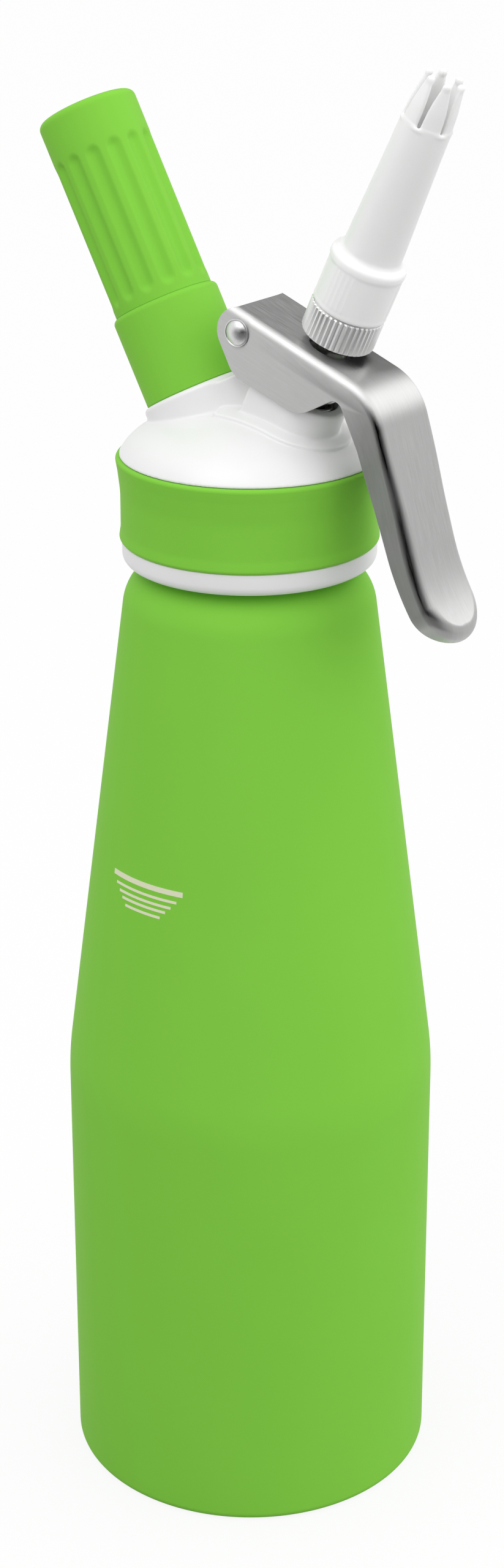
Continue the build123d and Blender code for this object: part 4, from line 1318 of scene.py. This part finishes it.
    def side_outline(self, start: Triple) -> Outline:
        """Work out the lower edge of one side's plate.

        Args:
            start: column of the flange where it starts.

        Returns:
            Its points, back over the ear to the rear edge.
        """
        foot = self.corner + self.handle_way * self.flange_foot - self.handle_up * self.flange
        spot = self.path(start[0])[0] - self.handle_up * self.depth(start)
        heel = np.array(self.heel)
        lean = atan2(heel[1], heel[0]) - acos(self.ear_radius / hypot(*heel))
        touch = self.ear_radius * np.array((cos(lean), sin(lean)))
        points = [self.pivot + touch, spot, foot, self.pivot + self.notch, self.pivot + self.belly,
                  self.pivot + heel]
        line = rounded([tuple(p) for p in points], dict(enumerate(self.side_rounds, 2)), 8)[1:]
        level = self.plate_rise - self.edge_round
        top = 180 - degrees(atan2(level, sqrt(self.ear_radius**2 - level**2))) - self.plate_slope
        return line + arc(tuple(self.pivot), self.ear_radius, degrees(lean) % 360, top, 16)[:-1]

    def edge_rows(self, sheet: Sheet, columns: Sequence[Triple]) -> list[list[bmesh.types.BMVert]]:
        """Place the rows of vertices round the rolled edge.

        Args:
            sheet: sheet that takes the vertices.
            columns: columns all round the channel.

        Returns:
            Rows from the flat face to the flange.
        """
        rows = []
        for step in range(self.round_steps + 1):
            turn = pi / 2 * step / self.round_steps
            row = []
            for number, column in enumerate(columns):
                roll = self.roll(column)
                inset, depth, left = roll * (1 - sin(turn)), roll * (1 - cos(turn)), roll * (1 - turn)
                from_rear = min(number, len(columns) - 1 - number) / self.ease_columns
                shift = self.lead(turn) * max(0.0, 1 - from_rear)
                grain = (column[0] + shift - left * sin(column[2]), column[1] + left * cos(column[2]))
                row.append(sheet.vertex(self.point(column, inset, depth, shift), grain))
            rows.append(row)
        return rows

    def wall_row(self, sheet: Sheet, columns: Sequence[Triple]) -> list[bmesh.types.BMVert]:
        """Place the row of vertices along the flange's lower edge.

        Args:
            sheet: sheet that takes the vertices.
            columns: columns of the flange.

        Returns:
            The row.
        """
        row = []
        for column in columns:
            depth = self.depth(column)
            left = self.roll(column) * ROLL_SAVING - depth
            grain = (column[0] - left * sin(column[2]), column[1] + left * cos(column[2]))
            row.append(sheet.vertex(self.point(column, 0, depth, 0), grain))
        return row

    def side_plate(
        self, sheet: Sheet, side: int, upper: Sequence, corner: bmesh.types.BMVert, outline: Outline,
    ) -> None:
        """Fill one side's plate with a single face.

        Args:
            sheet: sheet that takes the face.
            side: sign of the side's y.
            upper: vertices along the rolled edge, from the rear to the flange.
            corner: first vertex of the flange's lower edge.
            outline: lower edge of the plate, from that corner to the rear.
        """
        lower = [corner]
        for x, z in outline[1:]:
            offset = np.array((x, z)) - self.corner
            way, up, start = self.plate_way, self.plate_up, self.rear + self.plate_length
            if offset @ self.handle_way > self.flange_foot / 2:
                way, up, start = self.handle_way, self.handle_up, self.bend_end - self.tangent
            reach = self.half_width - self.edge_round * ROLL_SAVING - float(offset @ up)
            grain = (start + float(offset @ way), side * reach)
            lower.append(sheet.vertex((x, side * self.half_width, z), grain))
        sheet.work.faces.new([*upper, *lower])

    def sheet(self) -> bpy.types.Object:
        """Lay out the channel's outer face as an open sheet.

        Returns:
            The sheet, with the UV map of its grain.
        """
        sheet = Sheet()
        half, foot = self.stations()
        columns = half + [(a, -y, pi - t) for a, y, t in reversed(half)]
        end = len(columns) - foot
        rows = self.edge_rows(sheet, columns)
        for row, after in zip(rows, rows[1:]):
            sheet.band(row, after)
        top, last = rows[0], rows[-1]
        for k in range(len(half) - 1):
            sheet.work.faces.new((top[k], top[-1 - k], top[-2 - k], top[k + 1]))
        wall = self.wall_row(sheet, columns[foot:end])
        sheet.band(last[foot:end], wall)
        outline = self.side_outline(half[foot])
        self.side_plate(sheet, -1, last[:foot + 1], wall[0], outline)
        self.side_plate(sheet, 1, last[:end - 2:-1], wall[-1], outline)
        return sheet.piece("lever_channel")

    def build(self) -> None:
        """Build the channel, give it its thickness, cut its holes and break its edges."""
        piece = self.sheet()
        wall = piece.modifiers.new("wall", "SOLIDIFY")
        wall.thickness, wall.offset = self.thickness, -1
        wall.use_even_offset = wall.use_quality_normals = True
        reach = [(share, side * self.cutter_reach) for share, side in ((0, -1), (1, -1), (1, 1), (0, 1))]
        stem = turned("stem cutter", [(r * self.stem_hole, z) for r, z in reach], 96)
        stem.data.transform(NOZZLE.place())
        pin = turned("pin cutter", [(r * self.pin_hole, z * 2) for r, z in reach], 48)
        pin.data.transform(PIVOT.place() @ Matrix.Rotation(radians(90), 4, "X"))
        for cutter in (stem, pin):
            hole = piece.modifiers.new("hole", "BOOLEAN")
            hole.operation, hole.object, hole.solver = "DIFFERENCE", cutter, "EXACT"
        bevel = piece.modifiers.new("edges", "BEVEL")
        bevel.width, bevel.segments, bevel.limit_method = self.edge_bevel, 3, "ANGLE"
        bevel.angle_limit = radians(50)
        piece.modifiers.new("flat faces", "WEIGHTED_NORMAL").weight = 90
        piece.data.shade_smooth()
        settle(piece)
        for cutter in (stem, pin):
            bpy.data.objects.remove(cutter)
        self.seat(piece, UPRIGHT.place(), BRUSHED_STEEL, "brushed_steel", ["lever"], 70.0)


@dataclass
class Valve(Assembly):
    """Stem that the lever lifts, its spring, its seal and the knurled ring with its spigot."""

    body: str = "valve"
    ring_radius: float = 9.25
    ring_low: float = 4.4
    ring_high: float = 12.5
    ridge_count: int = 44
    ridge_rise: float = 0.32
    ridge_fill: float = 0.92
    ridge_flat: float = 0.16
    ridge_drop: float = 0.05
    ridge_low: tuple[Point, ...] = ((0.15, 0.1), (0.6, 1.0))
    ridge_high: tuple[Point, ...] = ((0.4, 1.0), (0.1, 0.25))
    # Painted shade: the black washer under the ring stands in for the shade in the gap between the ring and
    # the lever.
    shade_washer_height: float = 0.5
    shade_washer_inset: float = 1.05
    low_bevel: float = 0.5
    high_bevel: float = 0.45
    spigot_root: float = 5.95
    spigot_crest: float = 6.55
    spigot_top: float = 23.8
    spigot_bevel: float = 0.4
    pitch: float = 2.5
    bore: float = 3.0
    bore_foot: float = 11.5
    stem: float = 4.0
    spring_low: float = -19.35
    spring_high: float = -3.1
    spring_radius: float = 5.3
    spring_turns: float = 6.0
    wire: float = 0.55
    stroke: float = 4.7

    def build(self) -> None:
        """Build and dress the valve's pieces."""
        self.build_ring()
        self.build_ridges()
        self.build_shade_washer()
        self.build_spring()
        # Painted shade: the stem and nut get the dark steel that stands in for shade in the gap under the
        # ring.
        self.dress(SHADE_DARKENED_STEEL, "valve_stem", "seal_nut")
        self.dress(BLACK_RUBBER, "valve_seal")

    def build_ring(self) -> None:
        """Turn the ring and its threaded spigot."""
        core = self.ring_radius - self.ridge_rise
        low, high = self.ring_low, self.ring_high
        below, above, rim = self.low_bevel, self.high_bevel, self.spigot_bevel
        thread = Thread(self.spigot_crest, self.spigot_root, high + 1.5, self.spigot_top - 1, self.pitch)
        outer = [
            (self.stem, low), (core - below, low), (core, low + below), (core, high - above),
            (core - above, high), (self.spigot_root, high),
        ]
        wall = run(self.spigot_root, thread.low, thread.high, 0.14)
        top = [(self.spigot_root, self.spigot_top - rim), (self.spigot_root - rim, self.spigot_top),
               (self.bore, self.spigot_top), (self.bore, self.bore_foot), (self.stem, self.bore_foot)]
        piece = turned("knurled_ring", outer + wall + top, 176, thread)
        self.seat(piece, NOZZLE.place(), TURNED_STEEL, "bright_steel", ["nozzle_adaptor"], 30.0)

    def build_ridges(self) -> None:
        """Set the knurled ridges round the ring."""
        core, crest = self.ring_radius - self.ridge_rise - 0.1, self.ring_radius
        half = pi * self.ring_radius / self.ridge_count * self.ridge_fill
        shoulder, flat = crest - self.ridge_drop, half * self.ridge_flat
        section = [(core, -half), (shoulder, -flat), (crest, 0), (shoulder, flat), (core, half)]
        vertices = []
        ends = [(self.ring_low + z, share) for z, share in self.ridge_low]
        ends += [(self.ring_high - z, share) for z, share in self.ridge_high]
        for height, share in ends:
            vertices += [(core + (r - core) * share, y, height) for r, y in section]
        faces = [[5 * r + k, 5 * r + (k + 1) % 5, 5 * r + 5 + (k + 1) % 5, 5 * r + 5 + k]
                 for r in range(3) for k in range(5)]
        faces += [list(range(5)), list(range(15, 20))]
        piece = mesh_object("ring_ridges", vertices, faces)
        ring_tree().run(piece, {"Count": self.ridge_count, "Step": 360 / self.ridge_count, "First": 2.0},
                        TURNED_STEEL)
        self.seat(piece, NOZZLE.place(), TURNED_STEEL, "bright_steel", ["nozzle_adaptor"], 25.0)

    def build_shade_washer(self) -> None:
        """Turn the black washer between the ring and the lever: painted shade, a dark piece that makes the gap
        under the ring read as shaded.
        """
        low, high = self.ring_low - self.shade_washer_height, self.ring_low + 0.02
        reach = self.ring_radius - self.shade_washer_inset
        points = [(self.stem + 0.05, low), (reach, low), (reach, high), (self.stem + 0.05, high)]
        piece = turned("ring_shade_washer", rounded(points, {1: 0.15}), 96)
        self.seat(piece, NOZZLE.place(), BLACK_RUBBER, "black_rubber")

    def build_spring(self) -> None:
        """Wind the spring between its guide and the stem's flange."""
        piece = mesh_object("return_spring", [], [])
        height = self.spring_high - self.spring_low
        # Painted shade: the spring gets the dark steel so that it reads as shaded in the pocket under the
        # lever.
        coil_tree().run(piece, {
            "Turns": self.spring_turns, "Radius": self.spring_radius, "Height": height, "Wire": self.wire,
        }, SHADE_DARKENED_STEEL)
        place = NOZZLE.place() @ Matrix.Translation((0, 0, self.spring_low))
        holder = Assembly("head")
        holder.seat(piece, place, SHADE_DARKENED_STEEL, "bright_steel", ["valve_spring"])
        foot = Vector((NOZZLE.x, 0, NOZZLE.z)) + NOZZLE.way() * (self.spring_low - self.wire)
        tuple(NOZZLE.way())
        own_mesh(piece)


@dataclass
class DecoratorTip(Assembly):
    """Tulip tip: ribbed skirt, long cone and six tapering fingers with rounded ends."""

    body: str = "tip"
    low: float = 12.7
    skirt: float = 9.17
    bead: float = 9.5
    bead_low: float = 24.0
    bead_high: float = 26.7
    bore: float = 6.65
    cone_foot: Point = (7.38, 28.2)
    cone_middle: Point = (6.39, 54.7)
    cone_top: Point = (6.2, 62.9)
    finger_line: tuple[Point, ...] = ((5.72, 67.2), (5.25, 70.6), (4.75, 74.4))
    foot_flare: tuple[float, float] = (8.9, 9.28)
    wall: float = 1.25
    notch_blend: float = 0.7
    notch: float = 63.0
    notch_round: float = 0.4
    notch_mouth: float = 1.62
    notch_flare: float = 2.2
    ball: float = 0.85
    ball_place: float = 4.2
    lip: Triple = (1.5, 0.5, 0.42)
    lip_place: Point = (6.1, 0.75)
    fingers: int = 6
    phase: float = 12.6 - 90
    rib_groups: int = 3
    ribs: int = 5
    rib_pitch: float = 8.6
    rib_radius: float = 0.5
    rib_rise: float = 0.14
    rib_phase: float = -88.0
    cell: float = 0.28

    def outline(self) -> Outline:
        """Work out the wall's half outline.

        Returns:
            The closed outline.
        """
        foot, middle, top, wall = self.cone_foot, self.cone_middle, self.cone_top, self.wall
        inner, outer = self.foot_flare
        points = [
            (self.bore, self.low), (inner, self.low), (outer, self.low + 0.4), (outer, self.low + 0.9),
            (self.skirt, self.low + 1.5), (self.skirt, self.bead_low), (self.bead, self.bead_low + 0.9),
            (self.bead - 0.05, self.bead_high - 0.2), (foot[0] + 0.45, foot[1] - 0.75), foot, middle, top,
            (top[0] - 0.16, top[1] + 0.25), *self.finger_line,
            *((r - wall, s) for r, s in (*reversed(self.finger_line), top, foot)),
            (5.4, 25.6), (self.bore, 24.6),
        ]
        return rounded(points, {1: 0.3, 2: 0.35, 3: 0.3, 6: 0.6, 7: 1.3, 8: 0.8, 9: 1.0, 13: 8.0, 14: 8.0}, 6)

    def distance(self, space: Space) -> np.ndarray:
        """Work out the tip on a grid in its own frame.

        Args:
            space: grid with its Z along the nozzle axis.

        Returns:
            Signed distances.
        """
        across, s, end = np.hypot(space.x, space.y), space.z, self.finger_line[-1][1]
        body = Profile(self.outline(), margin=3.0, step=0.08).at(across, s)
        body = join(body, self.rib_distance(space), 0.3)
        pitch = 2 * pi / self.fingers
        angle = np.arctan2(space.y, space.x) - radians(self.phase)
        folded = (angle + pitch / 2) % pitch - pitch / 2
        side = across * np.sin(np.abs(folded))
        past = np.clip((s - self.notch) / (end - self.notch), 0, None)
        width = self.notch_round + (self.notch_mouth - self.notch_round) * past**self.notch_flare
        gap = np.where(s > self.notch, side - width, np.hypot(side, s - self.notch) - self.notch_round)
        body = cut(body, gap, self.notch_blend)
        reach = np.abs(folded) - pitch / 2
        ball = np.sqrt((across * np.cos(reach) - self.ball_place) ** 2 + (across * np.sin(reach)) ** 2
                       + (s - end + self.ball) ** 2) - self.ball
        body = join(meet(body, s - end + 0.5, 1.0), ball, self.notch_blend)
        half, tall, deep = self.lip
        lip = np.sqrt((side / half) ** 2 + ((s - self.notch + self.lip_place[1]) / tall) ** 2
                      + ((across - self.lip_place[0]) / deep) ** 2)
        return join(body, (lip - 1) * deep, 0.35)

    def rib_distance(self, space: Space) -> np.ndarray:
        """Work out the groups of fine upright ribs round the skirt.

        Args:
            space: grid with its Z along the nozzle axis.

        Returns:
            Signed distances.
        """
        size, group, pitch = self.rib_radius, 2 * pi / self.rib_groups, radians(self.rib_pitch)
        low, high = self.low + 1.6 + size, self.bead_low + 0.3 - size
        angle = np.arctan2(space.y, space.x) - radians(self.rib_phase)
        folded = (angle + group / 2) % group - group / 2
        last = (self.ribs - 1) / 2
        folded -= np.clip(np.round(folded / pitch), -last, last) * pitch
        across = np.hypot(space.x, space.y)
        out = across * np.cos(folded) - self.skirt - self.rib_rise + size
        along = np.clip(np.maximum(low - space.z, space.z - high), 0, None)
        return np.sqrt(out**2 + (across * np.sin(folded)) ** 2 + along**2) - size

    def build(self) -> None:
        """Build and dress the tip."""
        half, end = self.bead + 1, self.finger_line[-1][1]
        space = Space((-half, -half, self.low - 1), (half, half, end + 1), self.cell)
        piece = space.mesh("tulip_tip", self.distance(space))
        self.seat(piece, TIP.place(), TIP_PLASTIC, "tip_plastic", ["decorator_tip"], 60.0)


@dataclass
class GasUnit(Assembly):
    """Threaded piercing unit on the head and the gas cartridge that it pierces."""

    body: str = "head"
    root: float = 9.7
    crest: float = 10.35
    top: float = 13.4
    cup: float = 4.8
    floor: float = 3.0
    hole: float = 1.2
    plug: Point = (8.0, -10.0)

    def build(self) -> None:
        """Build the threaded stub and dress the pieces in it."""
        thread = Thread(self.crest, self.root, 1.0, self.top - 0.8, GAS_LEAD)
        outline = [(self.hole, self.plug[1]), self.plug, (self.plug[0], 0.0), (self.root, 0.0)]
        outline += run(self.root, thread.low, thread.high, 0.2)
        outline += [(self.root, self.top - 0.5), (self.root - 0.5, self.top), (self.cup + 0.4, self.top),
                    (self.cup, self.top - 0.4), (self.cup, self.floor), (self.hole, self.floor)]
        piece = turned("piercing_stub", outline, 160, thread)
        self.seat(piece, CHARGER.place(), TURNED_ALUMINIUM, "turned_aluminium", ["charger_stub"])
        self.dress(BRIGHT_STEEL, "piercing_pin")
        self.dress(BLACK_RUBBER, "charger_seal", "check_valve")
        self.dress(CHARGER_STEEL, "charger")


@dataclass
class ChargerHolder(Assembly):
    """Tube that presses the charger on its pin, with its plain skirt and fluted rubber grip."""

    body: str = "holder"
    low: float = 0.3
    skirt_low: float = 0.05
    mouth: float = 12.0
    crest: float = 10.45
    root: float = 11.1
    tube: float = 10.45
    bore: float = 9.25
    bore_low: float = 15.6
    thread_high: float = 13.4
    root_high: float = 14.0
    floor: float = 72.6
    cap: float = 2.2
    cap_round: float = 1.9
    cap_flat: float = 3.4
    skirt: float = 13.85
    skirt_top: float = 23.3
    grip: float = 12.74
    flutes: int = 14
    flute_depth: float = 0.95
    flute_half: float = 2.05
    flute_low: float = 27.6
    flute_high: float = 61.7
    flute_phase: float = -61.0

    def build(self) -> None:
        """Build and dress the holder's pieces."""
        self.build_tube()
        self.build_skirt()
        self.build_grip()

    def build_tube(self) -> None:
        """Turn the tube with the thread at its mouth."""
        thread = Thread(self.crest, self.root, self.low + 0.8, self.thread_high, GAS_LEAD)
        outline = [(self.root, self.low), (self.mouth, self.low), (self.mouth, self.skirt_top),
                   (self.tube, self.skirt_top), (self.tube, self.floor + 1), (0, self.floor + 1),
                   (0, self.floor), (self.bore, self.floor), (self.bore, self.bore_low),
                   (self.root, self.root_high)]
        outline += run(self.root, thread.high, thread.low, 0.2)
        piece = turned("holder_liner", outline, 160, thread)
        self.seat(piece, CHARGER.place(), TURNED_ALUMINIUM, "turned_aluminium", ["holder_tube"])

    def build_skirt(self) -> None:
        """Turn the plain skirt."""
        inner, top = self.mouth, self.skirt_top
        points = [(inner, self.skirt_low), (self.skirt, self.skirt_low), (self.skirt, top), (inner, top)]
        piece = turned("holder_band", rounded(points, {1: 0.35, 2: 1.5}, 10), 224)
        self.seat(piece, CHARGER.place(), GREEN_RUBBER, "green_rubber", ["holder_skirt"])

    def build_grip(self) -> None:
        """Turn the grip and press its flutes in."""
        end, turn = self.floor + self.cap, self.cap_round
        side = run(self.grip, self.skirt_top, end - turn, 0.55)
        top = arc((self.grip - turn, end - turn), turn, 0, 80, 8)[1:]
        top += [(self.grip - self.cap_flat, end), (0, end)]
        inner, under = self.tube + 0.02, self.floor + 1.02
        outline = side + top + [(0, under), (inner, under), (inner, self.skirt_top)]
        piece = turned("holder_grip_cover", outline, 280)
        flute_tree().run(piece, {
            "Count": self.flutes, "Depth": self.flute_depth, "Half width": self.flute_half,
            "Low": self.flute_low, "High": self.flute_high, "First": self.flute_phase,
        }, GREEN_RUBBER)
        self.seat(piece, CHARGER.place(), GREEN_RUBBER, "green_rubber", ["holder_grip"])


# ---- studio -----------------------------------------------------------------------------------------
@dataclass(frozen=True)
class Panel:
    """Soft patch of the surroundings: what it adds to the light and to what mirrors show."""

    way: Triple
    light: float
    mirror: float
    inner: float
    outer: float


@dataclass(frozen=True)
class Softbox:
    """Area lamp."""

    name: str
    place: Triple
    target: Triple
    size: tuple[float, float]
    watts: float


@dataclass
class Studio:
    """Camera, lamps, pale floor and the light of the surroundings."""

    camera_place: Triple = (407.976, -541.402, 474.976)
    camera_turn: Triple = (67.672, 0.0666, 36.9296)
    lens: float = 64.37
    sensor: float = 36.0
    floor_size: float = 40000.0
    white_share: float = 0.88
    floor_albedo: float = 0.42
    floor_shown: float = 0.85
    base_light: float = 0.63
    floor_dimmest: float = 0.05
    eye_height: float = 290.0
    softboxes: tuple[Softbox, ...] = (
        Softbox("key", (70, -580, 950), (0, 0, 270), (800, 600), 1.9),
    )
    panels: tuple[Panel, ...] = (
        Panel((-0.42, 0.76, 0.5), 0.1, -1.0, 10.0, 32.0),
        Panel((-0.08, 0.5, 0.86), 0.0, -0.35, 8.0, 28.0),
        Panel((0.6, -0.5, 0.62), 0.22, 0.0, 15.0, 55.0),
        Panel((0.47, 0.66, 0.6), 0.2, 1.3, 6.0, 26.0),
        Panel((0.76, -0.64, 0.04), 0.0, -1.0, 20.0, 46.0),
        Panel((0.85, 0.5, 0.02), 1.15, -0.1, 20.0, 60.0),
        Panel((-0.8, -0.6, 0.1), 0.15, 0.0, 20.0, 60.0),
        Panel((0.0, 0.0, 1.0), 0.35, 0.0, 20.0, 75.0),
        Panel((0.0, -0.98, -0.17), 0.0, -1.0, 15.0, 45.0),
        Panel((0.78, -0.2, 0.62), 0.0, 0.9, 8.0, 28.0),
        Panel((-0.08, -0.5, 0.86), 0.0, 0.8, 8.0, 28.0),
        Panel((0.6, -0.45, -0.66), 0.0, -0.55, 20.0, 55.0),
    )

    def build(self) -> None:
        """Set up the camera, the lamps, the floor and the world."""
        self.build_camera()
        for box in self.softboxes:
            self.build_lamp(box)
        self.build_floor()
        self.build_world()
        bpy.context.scene.view_settings.view_transform = "Standard"
        LOG.info("Studio: camera, %d lamps, floor and world", len(self.softboxes))

    def build_camera(self) -> None:
        """Place the camera."""
        data = bpy.data.cameras.new("camera")
        data.sensor_fit, data.sensor_height, data.sensor_width = "VERTICAL", self.sensor, self.sensor
        data.lens = self.lens
        camera = bpy.data.objects.new("camera", data)
        camera.location = Vector(self.camera_place) * MM
        camera.rotation_euler = [radians(a) for a in self.camera_turn]
        bpy.context.scene.collection.objects.link(camera)
        bpy.context.scene.camera = camera

    def build_lamp(self, box: Softbox) -> None:
        """Hang one softbox, turned to its target.

        Args:
            box: the softbox.
        """
        data = bpy.data.lights.new(box.name, "AREA")
        data.shape, data.size, data.size_y = "RECTANGLE", box.size[0] * MM, box.size[1] * MM
        data.energy = box.watts
        lamp = bpy.data.objects.new(box.name, data)
        lamp.location = Vector(box.place) * MM
        way = Vector(box.target) - Vector(box.place)
        lamp.rotation_euler = way.to_track_quat("-Z", "Y").to_euler()
        bpy.context.scene.collection.objects.link(lamp)

    def seen(self, graph: Graph) -> Number:
        """Return 1 where a ray from the camera, a mirror or clear material meets the surface, else 0."""
        camera, glossy, clear = graph.rays("Is Camera Ray", "Is Glossy Ray", "Is Transmission Ray")
        return camera.math("MAXIMUM", glossy).math("MAXIMUM", clear)

    def lobes(self, graph: Graph, way: bpy.types.NodeSocket) -> list[tuple[Number, Panel]]:
        """Work out how much of each panel lies in a direction.

        Args:
            graph: graph of the material or the world.
            way: socket of the unit direction.

        Returns:
            The share of each panel, from 0 to 1, with the panel.
        """
        found = []
        for panel in self.panels:
            facing = graph.number("ShaderNodeVectorMath", {0: way, 1: tuple(Vector(panel.way).normalized())},
                                  "Value", operation="DOT_PRODUCT")
            share = graph.number("ShaderNodeMapRange", {
                "Value": facing, "From Min": cos(radians(panel.outer)), "From Max": cos(radians(panel.inner)),
            }, interpolation_type="SMOOTHSTEP")
            found.append((share, panel))
        return found

    def build_floor(self) -> None:
        """Lay the floor, which shows white and keeps the shadow of the dispenser."""
        half = self.floor_size / 2
        corners = [(-half, -half, 0), (half, -half, 0), (half, half, 0), (-half, half, 0)]
        floor = mesh_object("floor", corners, [(0, 1, 2, 3)], outward=False)
        floor.data.transform(Matrix.Scale(MM, 4))
        material = bpy.data.materials.new("pale floor")
        material.use_nodes = True
        material.node_tree.nodes.clear()
        graph = Graph(material.node_tree)
        albedo = self.seen(graph) * (self.floor_shown - self.floor_albedo) + self.floor_albedo
        matt = graph.add("ShaderNodeBsdfDiffuse", {"Color": graph.add("ShaderNodeCombineColor", {
            0: albedo, 1: albedo, 2: albedo,
        })})
        place = graph.add("ShaderNodeTexCoord", output="Object")
        eye = (0, 0, self.eye_height * MM)
        way = graph.add("ShaderNodeVectorMath", {0: place, 1: eye}, operation="SUBTRACT")
        way = graph.add("ShaderNodeVectorMath", {0: way}, operation="NORMALIZE")
        glossy = graph.rays("Is Glossy Ray")[0]
        strength = 1.0
        for share, panel in self.lobes(graph, way):
            strength = strength + share * glossy * panel.mirror
        white = graph.add("ShaderNodeEmission", {
            "Color": (1, 1, 1, 1), "Strength": strength.math("MAXIMUM", self.floor_dimmest),
        })
        share = self.seen(graph) * self.white_share
        surface = graph.add("ShaderNodeMixShader", {0: share, 1: matt, 2: white})
        graph.node("ShaderNodeOutputMaterial", {"Surface": surface})
        floor.data.materials.append(material)
        floor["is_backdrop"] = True

    def build_world(self) -> None:
        """Set the surroundings: white in view, with the panels for the light and for mirrors."""
        world = bpy.data.worlds.new("surroundings")
        world.use_nodes = True
        world.node_tree.nodes.clear()
        graph = Graph(world.node_tree)
        way = graph.add("ShaderNodeTexCoord", output="Generated")
        camera, glossy, clear = graph.rays("Is Camera Ray", "Is Glossy Ray", "Is Transmission Ray")
        seen = camera.math("MAXIMUM", clear)
        unseen = seen * -1.0 + 1.0
        strength = seen.math("MAXIMUM", glossy) * (1 - self.base_light) + self.base_light
        for share, panel in self.lobes(graph, way):
            change = glossy * (panel.mirror - panel.light) + panel.light
            strength = strength + share * change * unseen
        surface = graph.add("ShaderNodeBackground", {"Color": (1, 1, 1, 1), "Strength": strength})
        graph.node("ShaderNodeOutputWorld", {"Surface": surface})
        bpy.context.scene.world = world


def corners() -> list[list[float]]:
    """Return the corners of everything shown, as plain lists."""
    return [[float(v) for v in corner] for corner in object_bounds()]


def main() -> None:
    """Build the studio and the sub-assemblies in order."""
    logging.basicConfig(level=logging.INFO, format="%(name)s: %(message)s")
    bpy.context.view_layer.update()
    Studio().build()
    for assembly in (Bottle(), Head(), Lever(), Valve(), DecoratorTip(), GasUnit(), ChargerHolder()):
        assembly.build()


if __name__ == "__main__":
    main()
